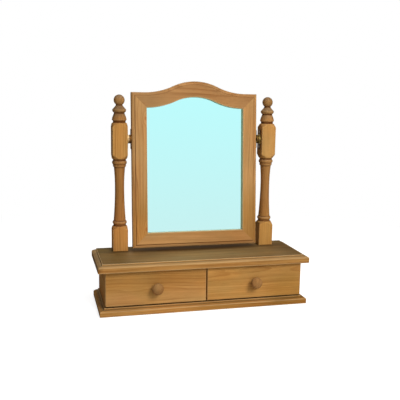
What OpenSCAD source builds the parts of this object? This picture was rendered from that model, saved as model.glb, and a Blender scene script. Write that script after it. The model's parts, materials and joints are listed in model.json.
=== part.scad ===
/* [Boards] */
// Width of the top board
board_w = 600; // [570:5:640]
// Depth of both boards, front to back
board_d = 200; // [190:5:230]
// Thickness of the top board
top_t = 22; // [20:0.5:26]
// Thickness of the base board
base_t = 20.5; // [18:0.5:26]
// How far each end of the base board lies inside the top board's end
base_inset = 4; // [2:1:8]
// Width of the thumbnail moulding on the boards
mould_w = 13; // [11:1:15]
// Height of the small step at the top of the boards' moulding
mould_step = 3; // [1.5:0.5:4]
// Radius of the flat curve of the boards' moulding
mould_r = 24; // [18:1:28]
// Radius of the nose where the boards' moulding turns down
mould_nose_r = 3; // [2:0.5:4]

/* [Carcass] */
// Each end of the top board beyond the box below it
end_overhang = 20; // [18:1:30]
// Height between the boards
carcass_h = 99.5; // [90:0.5:120]
// Thickness of the side panels and the divider
panel_t = 15; // [13:1:18]
// Thickness of the back panel
back_t = 9; // [6:1:10]
// Width of the rebate that holds the back panel in the side panels
back_rebate = 7; // [5:1:9]
// Back face of the carcass to the boards' back edge
back_inset = 6; // [3:1:10]
// Diameter of the dowels in the top board
dowel_d = 8; // [6:1:8]
// Depth of a dowel in the top board
dowel_up = 12; // [9:1:14]
// Depth of a dowel in a panel
dowel_down = 20; // [15:1:25]

/* [Drawers] */
// Drawer fronts to the boards' front edge
front_setback = 12; // [10:1:16]
// Thickness of the drawer fronts
front_t = 18; // [16:1:20]
// Gap above the drawer fronts
front_gap_top = 2; // [1.5:0.5:3]
// Gap below the drawer fronts
front_gap_low = 3.5; // [1.5:0.5:5]
// Gap between the two drawer fronts
centre_gap = 3; // [2:0.5:4]
// Radius of the rounded edges of the drawer fronts
arris_r = 2.5; // [1:0.5:4]
// Thickness of the drawer sides and backs
box_t = 10; // [8:1:11]
// Height of the drawer sides
box_h = 86; // [60:1:88]
// Thickness of the drawer bottoms
bottom_t = 5; // [4:1:6]
// Underside of the drawer bottom above the sides' lower edge
bottom_rise = 6; // [5:1:10]
// Depth of the grooves that hold sides, backs and bottoms
groove = 5; // [3:0.5:6]
// How much narrower the dovetail on a drawer side is at its neck than at its end, each side
dovetail_lip = 1.2; // [0.8:0.2:2]
// Drawer side to the panel beside it
side_gap = 0.75; // [0.5:0.25:1.5]
// Drawer to the board below it and to the front edges of the panels
run_gap = 0.3; // [0.3:0.1:0.6]
// Drawer back to the back panel
back_gap = 5; // [3:1:12]
// Diameter of the knobs
knob_d = 32; // [26:1:36]
// How far the knobs stand out
knob_h = 27; // [22:1:32]
// Diameter of the knobs' foot
knob_foot_d = 19; // [16:1:22]
// Diameter of the knobs' neck
knob_neck_d = 13; // [11:1:15]

/* [Posts] */
// Post axes to the boards' back edge
post_back = 29.5; // [26:0.5:40]
// Side of the square blocks
block_w = 43; // [40:1:46]
// Height of the lower block
lower_block_h = 72.5; // [62:0.5:80]
// Height of the upper block
upper_block_h = 103; // [94:0.5:110]
// Height of the turned finial above the upper block
finial_h = 78; // [74:1:86]
// Height of the round shoulder turned on the blocks' ends
shoulder_h = 7; // [4:0.5:9]
// Least radius of the shaft
shaft_r = 13.2; // [11:0.2:14.4]
// Radius of the shaft's foot
shaft_foot_r = 17.4; // [15:0.2:18]
// Radius of the shaft's top
shaft_top_r = 16; // [14.6:0.2:17]
// Radius of the bead above the lower block
low_bead_r = 20.4; // [19:0.2:21.4]
// Radius of the collar bead under the upper block
high_bead_r = 21; // [19:0.2:21.4]
// Radius of the finial's bell
bell_r = 20.6; // [19.6:0.2:21.2]
// Radius of the finial's ring
ring_r = 19.4; // [18:0.2:20.4]
// Radius of the finial's ball
ball_r = 15.4; // [14:0.2:16]
// Diameter of the tenon under each post
tenon_d = 20; // [16:1:24]
// Length of the tenon under each post
tenon_h = 12; // [8:1:14]

/* [Mirror frame] */
// Width of the frame
frame_w = 373; // [350:1:400]
// Pivot to the frame's lower edge
frame_down = 313.5; // [290:0.5:340]
// Pivot to the frame's straight shoulders
frame_up = 132; // [115:1:145]
// Thickness of the frame
frame_t = 22; // [20:1:26]
// Width of stiles and rails
member_w = 43; // [38:1:46]
// Rise of the outer arch above the shoulders
outer_rise = 33.5; // [26:0.5:38]
// Radius of the outer arch at its crown
outer_crown_r = 155; // [140:5:170]
// Width of the level shoulder at each end of the outer arch
level_w = 36.5; // [30:0.5:42]
// Rise of the glass opening above its shoulders
inner_rise = 31.5; // [25:0.5:34]
// Radius of the glass opening at its crown
inner_crown_r = 140; // [130:5:160]
// Width of the frame's moulding
edge_w = 10; // [8:1:11]
// Height of the small step of the frame's moulding
edge_step = 1.5; // [1:0.5:2]
// Radius of the flat curve of the frame's moulding
edge_r = 18; // [14:1:22]
// Radius of the nose of the frame's moulding
edge_nose_r = 2.5; // [2:0.5:3.5]
// Width of the rebate behind the glass opening
rebate_w = 8; // [6:1:10]
// Front of the frame to the face of the glass
lip_t = 10; // [9:0.5:12]
// Thickness of the glass
glass_t = 4; // [3:1:5]
// Thickness of the backing board
backing_t = 3; // [3:1:4]
// Glass and backing to the rebate's edge
glass_gap = 1; // [0.5:0.5:1.5]
// How far the mirror leans back in its stored pose, in degrees
lean = 4; // [0:1:8]

/* [Swing movement] */
// Gap between the frame and each post
mirror_gap = 13; // [13:0.5:20]
// Gap between the top board and the frame's lower edge
frame_lift = 7.5; // [6:0.5:16]
// Pivot above the lower end of the posts' upper blocks
pivot_in_block = 56.5; // [46:0.5:60]
// Diameter of the pivot pin
pin_d = 8; // [6:1:10]
// Radial clearance of the pin in its bearing
pin_gap = 0.05; // [0.02:0.01:0.1]
// Thickness of the brass plates
plate_t = 2; // [1.5:0.5:2.5]
// Width of the brass plates
plate_w = 15; // [14:1:16]
// Height of the frame plates
frame_plate_h = 58; // [52:1:70]
// Height of the post plates
post_plate_h = 60; // [54:1:72]
// Diameter of the bearing bosses
boss_d = 25; // [22:1:28]
// Thickness of the boss on each post plate
post_boss_t = 3.5; // [3:0.5:4]
// Thickness of the friction washers
washer_t = 1; // [0.5:0.5:1.5]
// Gap between washer and bearing boss
washer_gap = 0.3; // [0.3:0.05:0.4]
// How far the pin reaches into the post
pin_in_post = 3; // [2:1:8]
// Gap round the pin's end in the post
pin_hole_gap = 0.5; // [0.4:0.1:1.5]

/* [Fasteners] */
// Gap round screws, dowels and tenons in their holes
fit_gap = 0.05; // [0.02:0.01:0.1]
// Screws and dowels of each panel in from the panel's ends
fixing_inset = 30; // [24:1:40]
// Shank diameter of the base screws
base_screw_d = 4; // [3.5:0.5:5]
// Length of the base screws
base_screw_l = 50; // [40:5:60]
// Shank diameter of the post screws
post_screw_d = 5; // [4:0.5:6]
// Length of the post screws
post_screw_l = 60; // [45:5:70]
// Screws of the back panel in from the boards
back_screw_inset = 20; // [15:1:30]
// Shank diameter of the back panel's screws
back_screw_d = 3; // [2.5:0.5:3.5]
// Length of the back panel's screws
back_screw_l = 22; // [18:1:25]
// Shank diameter of the brass plates' screws
plate_screw_d = 3; // [2.5:0.5:3.5]
// Length of the brass plates' screws
plate_screw_l = 16; // [12:1:18]
// Shank diameter of the knob screws
knob_screw_d = 4; // [3.5:0.5:5]
// How far a knob screw reaches into its knob
knob_screw_in = 15; // [12:1:17]
// Shank diameter of the screws under the drawer bottoms
bottom_screw_d = 2.5; // [2:0.5:3]
// Length of the screws under the drawer bottoms
bottom_screw_l = 16; // [12:1:20]
// Outer pins of the backing board in from the corners of the glass opening
brad_inset = 40; // [30:5:60]
// Diameter of the pins behind the backing board
brad_d = 1.6; // [1.2:0.2:2]
// Length of the pins behind the backing board
brad_l = 15; // [12:1:18]

/* [Hidden] */
$fn = 64;
PINE = "#c08a4e";
PINE_DARK = "#a87840";
PINE_INSIDE = "#d9b883";
BRASS = "#b5913f";
STEEL = "#9a9a98";
SILVER = "#c4f2f4";
FIBRE = "#7a4b2c";
BOARD_BROWN = "#8c6a45";
over = 1;
head_ratio = 2;
head_taper = 0.5;
slot_w = 0.8;
slot_h = 0.6;
ease = 0.02;
shoulder_in = 4.5;
shoulder_out = 2;
corner_drop = 13;
neck_cut = 3;
neck_hollow = 0.6;
low_neck_h = 5;
bead_half_h = 4;
bead_gap = 0.5;
collar_neck_h = 4;
collar_half_h = 4.8;
crest_drop = 22.5;
waist_share = 0.59;

base_w = board_w - 2 * base_inset;
carcass_w = board_w - 2 * end_overhang;
carcass_z = base_t;
top_z = carcass_z + carcass_h;
post_z = top_z + top_t;
front_y = -board_d / 2 + front_setback;
panel_front_y = front_y + front_t + run_gap;
carcass_back_y = board_d / 2 - back_inset;
back_y = carcass_back_y - back_t;
panel_d = carcass_back_y - panel_front_y;
bay_w = (carcass_w - 3 * panel_t) / 2;

front_w = (carcass_w - centre_gap) / 2;
front_h = carcass_h - front_gap_low - front_gap_top;
box_w = bay_w - 2 * side_gap;
box_front_y = front_y + front_t;
box_back_y = back_y - back_gap;
box_z = carcass_z + run_gap;
bay_x = (bay_w + panel_t) / 2;
front_x = (front_w + centre_gap) / 2;
front_z = carcass_z + front_gap_low;
knob_z = front_z + front_h / 2;

post_x = frame_w / 2 + mirror_gap + block_w / 2;
post_y = board_d / 2 - post_back;
pivot_up = frame_down + frame_lift;
pivot_z = post_z + pivot_up;
shaft_h = pivot_up - pivot_in_block - lower_block_h;
upper_block_z = lower_block_h + shaft_h;
finial_z = upper_block_z + upper_block_h;

outer_spread = frame_w / 2 - level_w;
opening_half = frame_w / 2 - member_w;
opening_low = -frame_down + member_w;
opening_shoulder = frame_up - member_w;
glass_face = frame_t - lip_t;
glass_back = glass_face - glass_t;
backing_back = glass_back - backing_t;
frame_boss_t = mirror_gap - 2 * plate_t - post_boss_t - washer_t - washer_gap;
pin_l = mirror_gap - plate_t + pin_in_post;
plain_band = nose_height(frame_t, edge_w, edge_step, edge_r, edge_nose_r);
mitre_dowel_d = 6;
mitre_dowel_l = 32;
plate_hole_z = (frame_plate_h + boss_d) / 4;
post_hole_z = (post_plate_h + boss_d) / 4;

// Points on an arc from angle a to angle b round a centre
function arc(c, r, a, b, n) =
  [for (i = [0:n]) let (turn = a + (b - a) * i / n) c + r * [cos(turn), sin(turn)]];

// Half-round bead on a turned profile, bottom to top, from neck radius to bead radius
function bead(z, half_h, r, neck_r, n = 8) =
  [for (i = [0:n]) [neck_r + (r - neck_r) * sin(180 * i / n), z - half_h * cos(180 * i / n)]];

// Hollow between two radii, deepest at its middle
function cove(z0, z1, r0, r1, depth, n = 8) =
  [for (i = [0:n]) [r0 + (r1 - r0) * i / n - depth * sin(180 * i / n), z0 + (z1 - z0) * i / n]];

// Shallow circular curve that leaves the radius r upright at z and reaches r_end at z_end
function flare(z, z_end, r, r_end, n = 8) =
  let (big = (pow(z_end - z, 2) + pow(r_end - r, 2)) / (2 * (r_end - r)))
  [for (i = [0:n]) let (h = (z_end - z) * i / n) [r + big - sqrt(big * big - h * h), z + h]];

// Height of a moulded edge's nose centre, which is also the top of its plain band
function nose_height(t, w, step, r, nose_r) = t - step - r + sqrt(pow(r - nose_r, 2) - pow(w - nose_r, 2));

// Section of a moulded edge outside its step: a flat curve, a small nose and the plain band below
module moulded_edge(t, w, step, r, nose_r) {
  side = w - nose_r;
  nose = [side, nose_height(t, w, step, r, nose_r)];
  square([w, nose.y]);
  translate(nose) circle(nose_r);
  intersection() {
    translate([0, t - step - r]) circle(r, $fn = 128);
    square([side * r / (r - nose_r), t - step]);
  }
}

module board_edge(t) {
  moulded_edge(t, mould_w, mould_step, mould_r, mould_nose_r);
}

// Board with the moulding on its front and both ends, square at the back
module moulded_board(w, t) {
  intersection() {
    translate([-w / 2, 0, 0]) rotate([90, 0, 90]) linear_extrude(w) {
      translate([-board_d / 2 + mould_w, 0]) square([board_d - mould_w, t]);
      translate([-board_d / 2 + mould_w, 0]) mirror([1, 0]) board_edge(t);
    }
    translate([0, board_d / 2, 0]) rotate([90, 0, 0]) linear_extrude(board_d) {
      translate([-w / 2 + mould_w, 0]) square([w - 2 * mould_w, t]);
      translate([w / 2 - mould_w, 0]) board_edge(t);
      translate([-w / 2 + mould_w, 0]) mirror([1, 0]) board_edge(t);
    }
  }
}

// Countersunk screw along +Z with its head's flat face at the origin, pointing up
module csk_screw(d, l, gap = 0) {
  head_h = d * head_taper;
  difference() {
    union() {
      cylinder(h = head_h, d1 = d * head_ratio + 2 * gap, d2 = d + 2 * gap);
      cylinder(h = l - d + gap, d = d + 2 * gap);
      translate([0, 0, l - d + gap]) cylinder(h = d, d1 = d + 2 * gap, d2 = d / 4);
    }
    if (gap == 0) translate([-d * head_ratio, -slot_w / 2, -over])
      cube([2 * d * head_ratio, slot_w, over + slot_h]);
  }
}

// Dome-headed screw along +Z with its head below the origin, pointing up
module round_screw(d, l, gap = 0) {
  cylinder(h = l - d + gap, d = d + 2 * gap);
  translate([0, 0, l - d + gap]) cylinder(h = d, d1 = d + 2 * gap, d2 = d / 4);
  if (gap == 0) difference() {
    intersection() {
      translate([0, 0, d * 0.45]) sphere(d * 1.1);
      translate([-2 * d, -2 * d, -d]) cube([4 * d, 4 * d, d]);
    }
    translate([-2 * d, -slot_w / 2, -d]) cube([4 * d, slot_w, slot_h + d * 0.35]);
  }
}

module at_panels() {
  for (x = [-(carcass_w - panel_t) / 2, 0, (carcass_w - panel_t) / 2]) translate([x, 0, 0]) children();
}

// Two places along each panel, in from its ends
module along_panel() {
  for (y = [panel_front_y + fixing_inset, back_y - fixing_inset]) translate([0, y, 0]) children();
}

module at_posts() {
  for (s = [-1, 1]) translate([s * post_x, post_y, 0]) children();
}

module base_screw_set(gap = 0) {
  at_panels() along_panel() csk_screw(base_screw_d, base_screw_l, gap);
}

module top_dowel_set(gap = 0) {
  at_panels() along_panel() translate([0, 0, top_z - dowel_down - gap])
    cylinder(h = dowel_down + dowel_up + 2 * gap, d = dowel_d + 2 * gap);
}

module post_screw_set(gap = 0) {
  at_posts() translate([0, 0, top_z]) csk_screw(post_screw_d, post_screw_l, gap);
}

module back_screw_set(gap = 0) {
  side_x = carcass_w / 2 - panel_t + back_rebate / 2;
  for (x = [-side_x, 0, side_x], z = [carcass_z + back_screw_inset, top_z - back_screw_inset])
    translate([x, carcass_back_y, z]) rotate([90, 0, 0]) csk_screw(back_screw_d, back_screw_l, gap);
}

module base_board() {
  color(PINE) difference() {
    moulded_board(base_w, base_t);
    base_screw_set(fit_gap);
  }
}

module top_board() {
  color(PINE) difference() {
    translate([0, 0, top_z]) moulded_board(board_w, top_t);
    top_dowel_set(fit_gap);
    post_screw_set(fit_gap);
    at_posts() translate([0, 0, post_z - tenon_h - fit_gap])
      cylinder(h = tenon_h + fit_gap + over, d = tenon_d + 2 * fit_gap);
  }
}

// Side panel with the rebate for the back panel, s is -1 on the left and 1 on the right
module side_panel(s) {
  inner = carcass_w / 2 - panel_t;
  color(PINE_DARK) difference() {
    translate([s > 0 ? inner : -carcass_w / 2, panel_front_y, carcass_z]) cube([panel_t, panel_d, carcass_h]);
    translate([s * inner - (s > 0 ? over : back_rebate), back_y, carcass_z - over])
      cube([back_rebate + over, back_t + over, carcass_h + 2 * over]);
    base_screw_set(fit_gap);
    top_dowel_set(fit_gap);
    back_screw_set(fit_gap);
  }
}

module centre_divider() {
  color(PINE_DARK) difference() {
    translate([-panel_t / 2, panel_front_y, carcass_z]) cube([panel_t, back_y - panel_front_y, carcass_h]);
    base_screw_set(fit_gap);
    top_dowel_set(fit_gap);
    back_screw_set(fit_gap);
  }
}

module back_panel() {
  w = carcass_w - 2 * panel_t + 2 * back_rebate;
  color(PINE_DARK) difference() {
    translate([-w / 2, back_y, carcass_z]) cube([w, back_t, carcass_h]);
    back_screw_set(fit_gap);
  }
}

// Turned outline that rounds off both ends of a square block and slopes away to its corners
module block_limit(z, h) {
  flat_r = block_w / 2 - shoulder_in;
  corner_r = block_w / 2 * sqrt(2) + over;
  curve = concat(
    [for (i = [0:7]) [flat_r + (shoulder_in + shoulder_out) * sin(10 * i), shoulder_h * (1 - cos(10 * i))]],
    [[corner_r, corner_drop]]
  );
  rotate_extrude() polygon(concat(
    [[0, z]],
    [for (p = curve) [p.x, z + p.y]],
    [for (i = [len(curve) - 1:-1:0]) [curve[i].x, z + h - curve[i].y]],
    [[0, z + h]]
  ));
}

module square_block(z, h, plain_foot = false) {
  intersection() {
    translate([-block_w / 2, -block_w / 2, z]) cube([block_w, block_w, h]);
    block_limit(plain_foot ? z - shoulder_h : z, plain_foot ? h + shoulder_h : h);
  }
}

// Turned length between the two blocks: neck, bead, waisted shaft, step and collar bead
module turned_shaft() {
  z0 = lower_block_h;
  z1 = upper_block_z;
  neck_r = block_w / 2 - neck_cut;
  head_r = neck_r + bead_gap * 2;
  bead_z = z0 + low_neck_h + bead_half_h + bead_gap;
  foot_z = bead_z + bead_half_h + 2 * bead_gap;
  waist_z = z0 + waist_share * shaft_h;
  crest_z = z1 - crest_drop;
  step_h = crest_drop - 2 * collar_half_h - collar_neck_h - bead_gap;
  foot = flare(0, waist_z - foot_z, shaft_r, shaft_foot_r);
  rotate_extrude() polygon(concat(
    [[0, z0 - over], [neck_r, z0 - over]],
    cove(z0, z0 + low_neck_h, neck_r, neck_r, neck_hollow),
    bead(bead_z, bead_half_h, low_bead_r, neck_r),
    [[shaft_foot_r, foot_z - bead_gap]],
    [for (i = [len(foot) - 1:-1:0]) [foot[i].x, waist_z - foot[i].y]],
    flare(waist_z, crest_z, shaft_r, shaft_top_r),
    [[neck_r - bead_gap, crest_z + step_h / 8], [neck_r, crest_z + step_h * 0.4], [neck_r, crest_z + step_h * 0.75]],
    bead(z1 - collar_neck_h - bead_gap - collar_half_h, collar_half_h, high_bead_r, neck_r),
    cove(z1 - collar_neck_h, z1, neck_r, head_r, neck_hollow),
    [[head_r, z1 + over], [0, z1 + over]]
  ));
}

// Turned finial: neck, bell, waist, ring, slim neck and ball, with its heights as shares of the whole
module finial() {
  neck_r = 0.89 * bell_r;
  neck_h = finial_h / 15;
  lip_z = finial_h / 12;
  bell_z = 0.102 * finial_h;
  bell_h = 0.23 * finial_h;
  waist_r = 0.72 * bell_r;
  ring_foot_z = 0.35 * finial_h;
  ring_z = 0.462 * finial_h;
  ring_flank_h = 0.085 * finial_h;
  cone_h = 0.15 * finial_h;
  slim_r = 0.615 * ball_r;
  ball_z = finial_h - ball_r;
  meet = asin(slim_r / ball_r);
  translate([0, 0, finial_z]) rotate_extrude() polygon(concat(
    [[0, -over], [neck_r, -over]],
    cove(0, neck_h, neck_r, neck_r, neck_hollow),
    [[0.97 * bell_r, lip_z], [bell_r, bell_z]],
    [for (i = [1:10]) [bell_r - (bell_r - waist_r) * pow(i / 10, 1.5), bell_z + bell_h * i / 10]],
    [for (i = [0:6]) [waist_r + (ring_r - waist_r) * sin(15 * i), ring_foot_z + ring_flank_h * i / 6]],
    [[ring_r, ring_z]],
    [for (i = [0:6]) [ring_r + (slim_r - ring_r) * (1 - pow(1 - i / 6, 1.1)), ring_z + bead_gap + cone_h * i / 6]],
    arc([0, ball_z], ball_r, meet - 90, 90, 18)
  ));
}

// Post with its axis on Z and its foot at the origin
module turned_post() {
  square_block(0, lower_block_h, true);
  turned_shaft();
  square_block(upper_block_z, upper_block_h);
  finial();
  translate([0, 0, -tenon_h]) cylinder(h = tenon_h + over, d = tenon_d);
}

// s is -1 on the left and 1 on the right
module post(s) {
  color(PINE) difference() {
    translate([s * post_x, post_y, post_z]) turned_post();
    post_screw_set(fit_gap);
    at_pivot(s) translate([-pin_in_post - pin_hole_gap, 0, 0])
      x_cylinder(pin_in_post + pin_hole_gap + over, pin_d + 2 * pin_hole_gap);
    post_plate_screw_set(fit_gap);
  }
}

// Place of one swing movement: origin on the post's inner face, +X into the gap
module at_pivot(s) {
  translate([s * (post_x - block_w / 2), post_y, pivot_z]) rotate([0, 0, s > 0 ? 180 : 0]) children();
}

// The same, turned with the leaning mirror
module at_leaning_pivot(s) {
  translate([0, post_y, pivot_z]) rotate([-lean, 0, 0])
    translate([0, -post_y, -pivot_z]) at_pivot(s) children();
}

// Oblong plate on the YZ plane with half-round ends
module oblong(h, t) {
  rotate([90, 0, 90]) linear_extrude(t) {
    translate([-plate_w / 2, -h / 2 + plate_w / 2]) square([plate_w, h - plate_w]);
    for (s = [-1, 1]) translate([0, s * (h - plate_w) / 2]) circle(d = plate_w);
  }
}

module x_cylinder(l, d) {
  rotate([0, 90, 0]) cylinder(h = l, d = d);
}

module post_plate_screw_set(gap = 0) {
  for (s = [-1, 1], v = [-1, 1]) at_pivot(s) translate([plate_t, 0, v * post_hole_z]) rotate([0, -90, 0])
    csk_screw(plate_screw_d, plate_screw_l, gap);
}

module post_plate(s) {
  color(BRASS) difference() {
    at_pivot(s) {
      oblong(post_plate_h, plate_t);
      x_cylinder(plate_t + post_boss_t, boss_d);
    }
    at_pivot(s) translate([-over, 0, 0]) x_cylinder(plate_t + post_boss_t + 2 * over, pin_d + 2 * pin_gap);
    post_plate_screw_set(fit_gap);
  }
}

// The frame plates lie on the plain band of the frame's edge, behind the moulding
module on_plain_band(s) {
  at_leaning_pivot(s) translate([mirror_gap - plate_t, -s * (frame_t - plain_band) / 2, 0]) children();
}

module frame_plate_screw_set(gap = 0) {
  for (s = [-1, 1], v = [-1, 1]) on_plain_band(s) translate([0, 0, v * plate_hole_z]) rotate([0, 90, 0])
    csk_screw(plate_screw_d, plate_screw_l, gap);
}

// Brass plate on the frame's edge with its boss and the pivot pin
module frame_plate(s) {
  color(BRASS) difference() {
    union() {
      on_plain_band(s) oblong(frame_plate_h, plate_t);
      at_leaning_pivot(s) translate([mirror_gap - plate_t - frame_boss_t, 0, 0])
        x_cylinder(frame_boss_t + plate_t, boss_d);
      at_leaning_pivot(s) translate([-pin_in_post, 0, 0]) x_cylinder(pin_l, pin_d);
    }
    frame_plate_screw_set(fit_gap);
  }
}

module friction_washer(s) {
  color(FIBRE) at_leaning_pivot(s) translate([plate_t + post_boss_t + washer_gap, 0, 0]) difference() {
    x_cylinder(washer_t, boss_d - 3);
    translate([-over, 0, 0]) x_cylinder(washer_t + 2 * over, pin_d + 2 * fit_gap);
  }
}

// Mirror pieces are drawn flat, X to the right, Y up from the pivot, Z forward from the frame's back
module hang_mirror() {
  translate([0, post_y, pivot_z]) rotate([90 - lean, 0, 0]) translate([0, 0, -frame_t / 2]) children();
}

// Distance between the centres of an arch's crown and flank, whose arcs run into each other
function arch_reach(rise, spread) = (spread * spread + rise * rise) / (2 * rise);

// Area below an arch that rises from level shoulders in a hollow curve and closes in a round crown
module arch_area(half_w, low, shoulder, rise, crown_r, spread) {
  reach = arch_reach(rise, spread);
  flank_y = shoulder + reach - crown_r;
  crown_y = shoulder + rise - crown_r;
  meet_y = crown_y + (flank_y - crown_y) * crown_r / reach;
  difference() {
    union() {
      translate([-half_w, low]) square([2 * half_w, shoulder - low]);
      translate([-spread, low]) square([2 * spread, meet_y - low]);
      intersection() {
        translate([0, crown_y]) circle(crown_r, $fn = 256);
        translate([-spread, shoulder]) square([2 * spread, rise + over]);
      }
    }
    for (s = [-1, 1]) translate([s * spread, flank_y]) circle(reach - crown_r + ease, $fn = 256);
  }
}

// Glass opening, wider by grow all round
module opening_area(grow = 0) {
  arch_area(opening_half + grow, opening_low - grow, opening_shoulder + grow,
    inner_rise, inner_crown_r + grow, opening_half);
}

// Everything that belongs to the top rail between its mitres
module top_rail_zone() {
  polygon([
    [-frame_w / 2, frame_up], [-opening_half, opening_shoulder],
    [opening_half, opening_shoulder], [frame_w / 2, frame_up],
    [frame_w / 2, frame_up + outer_rise + over], [-frame_w / 2, frame_up + outer_rise + over]
  ]);
}

module frame_edge() {
  moulded_edge(frame_t, edge_w, edge_step, edge_r, edge_nose_r);
}

// What the moulding cutter leaves standing: the moulded edge and everything behind the frame
module uncut_edge() {
  frame_edge();
  translate([0, -2 * over]) square([edge_w, 3 * over]);
}

// Section that the moulding cutter clears, out to the given width
module cutter_area(wide) {
  translate([0, -over]) square([wide, frame_t + 2 * over]);
}

// Top rail before its opening is cut: a turned crown, and flanks shaped by turned cutters
module arched_blank() {
  reach = arch_reach(outer_rise, outer_spread);
  flank_r = reach - outer_crown_r;
  flank_y = frame_up + flank_r;
  crown_y = frame_up + outer_rise - outer_crown_r;
  cutter_r = flank_r + edge_w + ease;
  translate([0, crown_y, 0]) rotate_extrude($fn = 256) {
    square([outer_crown_r - edge_w, frame_t]);
    translate([outer_crown_r - edge_w, 0]) frame_edge();
  }
  for (s = [-1, 1]) difference() {
    linear_extrude(frame_t)
      polygon([[0, crown_y], [s * outer_spread, flank_y], [s * frame_w / 2, flank_y], [s * frame_w / 2, crown_y]]);
    translate([s * outer_spread, flank_y, 0]) rotate_extrude($fn = 256) difference() {
      cutter_area(cutter_r);
      translate([cutter_r, 0]) mirror([1, 0]) uncut_edge();
    }
    mirror([s > 0 ? 0 : 1, 0, 0]) translate([outer_spread, frame_up - edge_w, 0]) rotate([90, 0, 90])
      linear_extrude(frame_w / 2 - outer_spread + over) difference() {
        cutter_area(cutter_r + over);
        uncut_edge();
      }
  }
}

// Straight member along +X from the origin, its outer edge at y = 0 and its inner edge at y = member_w
module straight_member(l) {
  rotate([90, 0, 90]) linear_extrude(l) difference() {
    union() {
      translate([edge_w, 0]) mirror([1, 0]) frame_edge();
      translate([edge_w, 0]) square([member_w - edge_w, frame_t]);
    }
    translate([member_w - rebate_w, -over]) square([rebate_w + over, glass_face + over]);
  }
}

// Cuts both ends of a straight member at 45 degrees
module mitred_member(l) {
  intersection() {
    straight_member(l);
    linear_extrude(frame_t) polygon([[0, 0], [l, 0], [l - member_w, member_w], [member_w, member_w]]);
  }
}

// Middle of the four mitres, with X across the joint
module at_mitres() {
  mid = member_w / 2;
  for (s = [0, 1], v = [0, 1]) mirror([s, 0, 0])
    translate([frame_w / 2 - mid, v > 0 ? frame_up - mid : -frame_down + mid, glass_face / 2])
      rotate([0, 0, v > 0 ? -45 : 45]) children();
}

module mitre_dowel_set(gap = 0) {
  at_mitres() translate([-mitre_dowel_l / 2 - gap, 0, 0])
    x_cylinder(mitre_dowel_l + 2 * gap, mitre_dowel_d + 2 * gap);
}

// Pins driven into the rebate's walls, lying on the backing board
module backing_pin_set(gap = 0) {
  d = brad_d + 2 * gap;
  z = backing_back - brad_d / 2 - fit_gap;
  wall_x = opening_half + rebate_w;
  for (s = [0, 1], y = [opening_low + brad_inset, 0, opening_shoulder - brad_inset]) mirror([s, 0, 0])
    translate([wall_x + brad_l / 2, y, z]) rotate([0, -90, 0]) cylinder(h = brad_l, d = d);
  for (x = [-opening_half / 2, opening_half / 2])
    translate([x, opening_low - rebate_w - brad_l / 2, z]) rotate([-90, 0, 0]) cylinder(h = brad_l, d = d);
}

module stile(s) {
  color(PINE) difference() {
    hang_mirror() difference() {
      mirror([s > 0 ? 0 : 1, 0, 0]) translate([frame_w / 2, -frame_down, 0]) rotate([0, 0, 90])
        mitred_member(frame_down + frame_up);
      mitre_dowel_set(fit_gap);
      backing_pin_set(fit_gap);
    }
    frame_plate_screw_set(fit_gap);
  }
}

module frame_rail_bottom() {
  color(PINE) hang_mirror() difference() {
    translate([-frame_w / 2, -frame_down, 0]) mitred_member(frame_w);
    mitre_dowel_set(fit_gap);
    backing_pin_set(fit_gap);
  }
}

module frame_rail_top() {
  color(PINE) hang_mirror() difference() {
    intersection() {
      arched_blank();
      translate([0, 0, -over]) linear_extrude(frame_t + 2 * over) top_rail_zone();
    }
    translate([0, 0, -over]) linear_extrude(frame_t + 2 * over) opening_area();
    translate([0, 0, -over]) linear_extrude(glass_face + over) opening_area(rebate_w);
    mitre_dowel_set(fit_gap);
  }
}

module mirror_glass() {
  color(SILVER) hang_mirror() translate([0, 0, glass_back]) linear_extrude(glass_t)
    opening_area(rebate_w - glass_gap);
}

module mirror_backing() {
  color(BOARD_BROWN) hang_mirror() translate([0, 0, backing_back]) linear_extrude(backing_t)
    opening_area(rebate_w - glass_gap);
}

module backing_pins() {
  color(STEEL) hang_mirror() backing_pin_set();
}

// Drawer pieces are drawn for the left drawer and mirrored for the right one
function side_x(inner) = -bay_x + (inner ? 1 : -1) * (box_w - box_t) / 2;

// Outline of the sliding dovetail at a drawer side's front end, seen from above
module dovetail() {
  tip = box_t / 2;
  neck = tip - dovetail_lip;
  polygon([[-neck, over], [-neck, 0], [-tip, -groove], [tip, -groove], [neck, 0], [neck, over]]);
}

module drawer_side(inner) {
  x = side_x(inner) - box_t / 2;
  groove_x = inner ? x - over : x + box_t - groove;
  color(PINE_INSIDE) difference() {
    union() {
      translate([x, box_front_y, box_z]) cube([box_t, box_back_y - box_front_y, box_h]);
      translate([side_x(inner), box_front_y, front_z]) linear_extrude(box_z + box_h - front_z) dovetail();
    }
    translate([groove_x, box_front_y - groove - over, box_z + bottom_rise])
      cube([groove + over, box_back_y - box_front_y + groove + 2 * over, bottom_t]);
    translate([groove_x, box_back_y - 2 * box_t, box_z + bottom_rise + bottom_t])
      cube([groove + over, box_t, box_h]);
  }
}

module rounded_front() {
  r = arris_r;
  x0 = -front_x - front_w / 2;
  intersection() {
    translate([x0, front_y, front_z]) cube([front_w, front_t, front_h]);
    translate([x0, 0, 0]) rotate([90, 0, 90]) linear_extrude(front_w) {
      for (z = [front_z + r, front_z + front_h - r]) translate([front_y + r, z]) circle(r);
      translate([front_y, front_z + r]) square([front_t, front_h - 2 * r]);
      translate([front_y + r, front_z]) square([front_t - r, front_h]);
    }
    translate([0, 0, front_z]) linear_extrude(front_h) {
      for (x = [x0 + r, x0 + front_w - r]) translate([x, front_y + r]) circle(r);
      translate([x0 + r, front_y]) square([front_w - 2 * r, front_t]);
      translate([x0, front_y + r]) square([front_w, front_t - r]);
    }
  }
}

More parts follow.
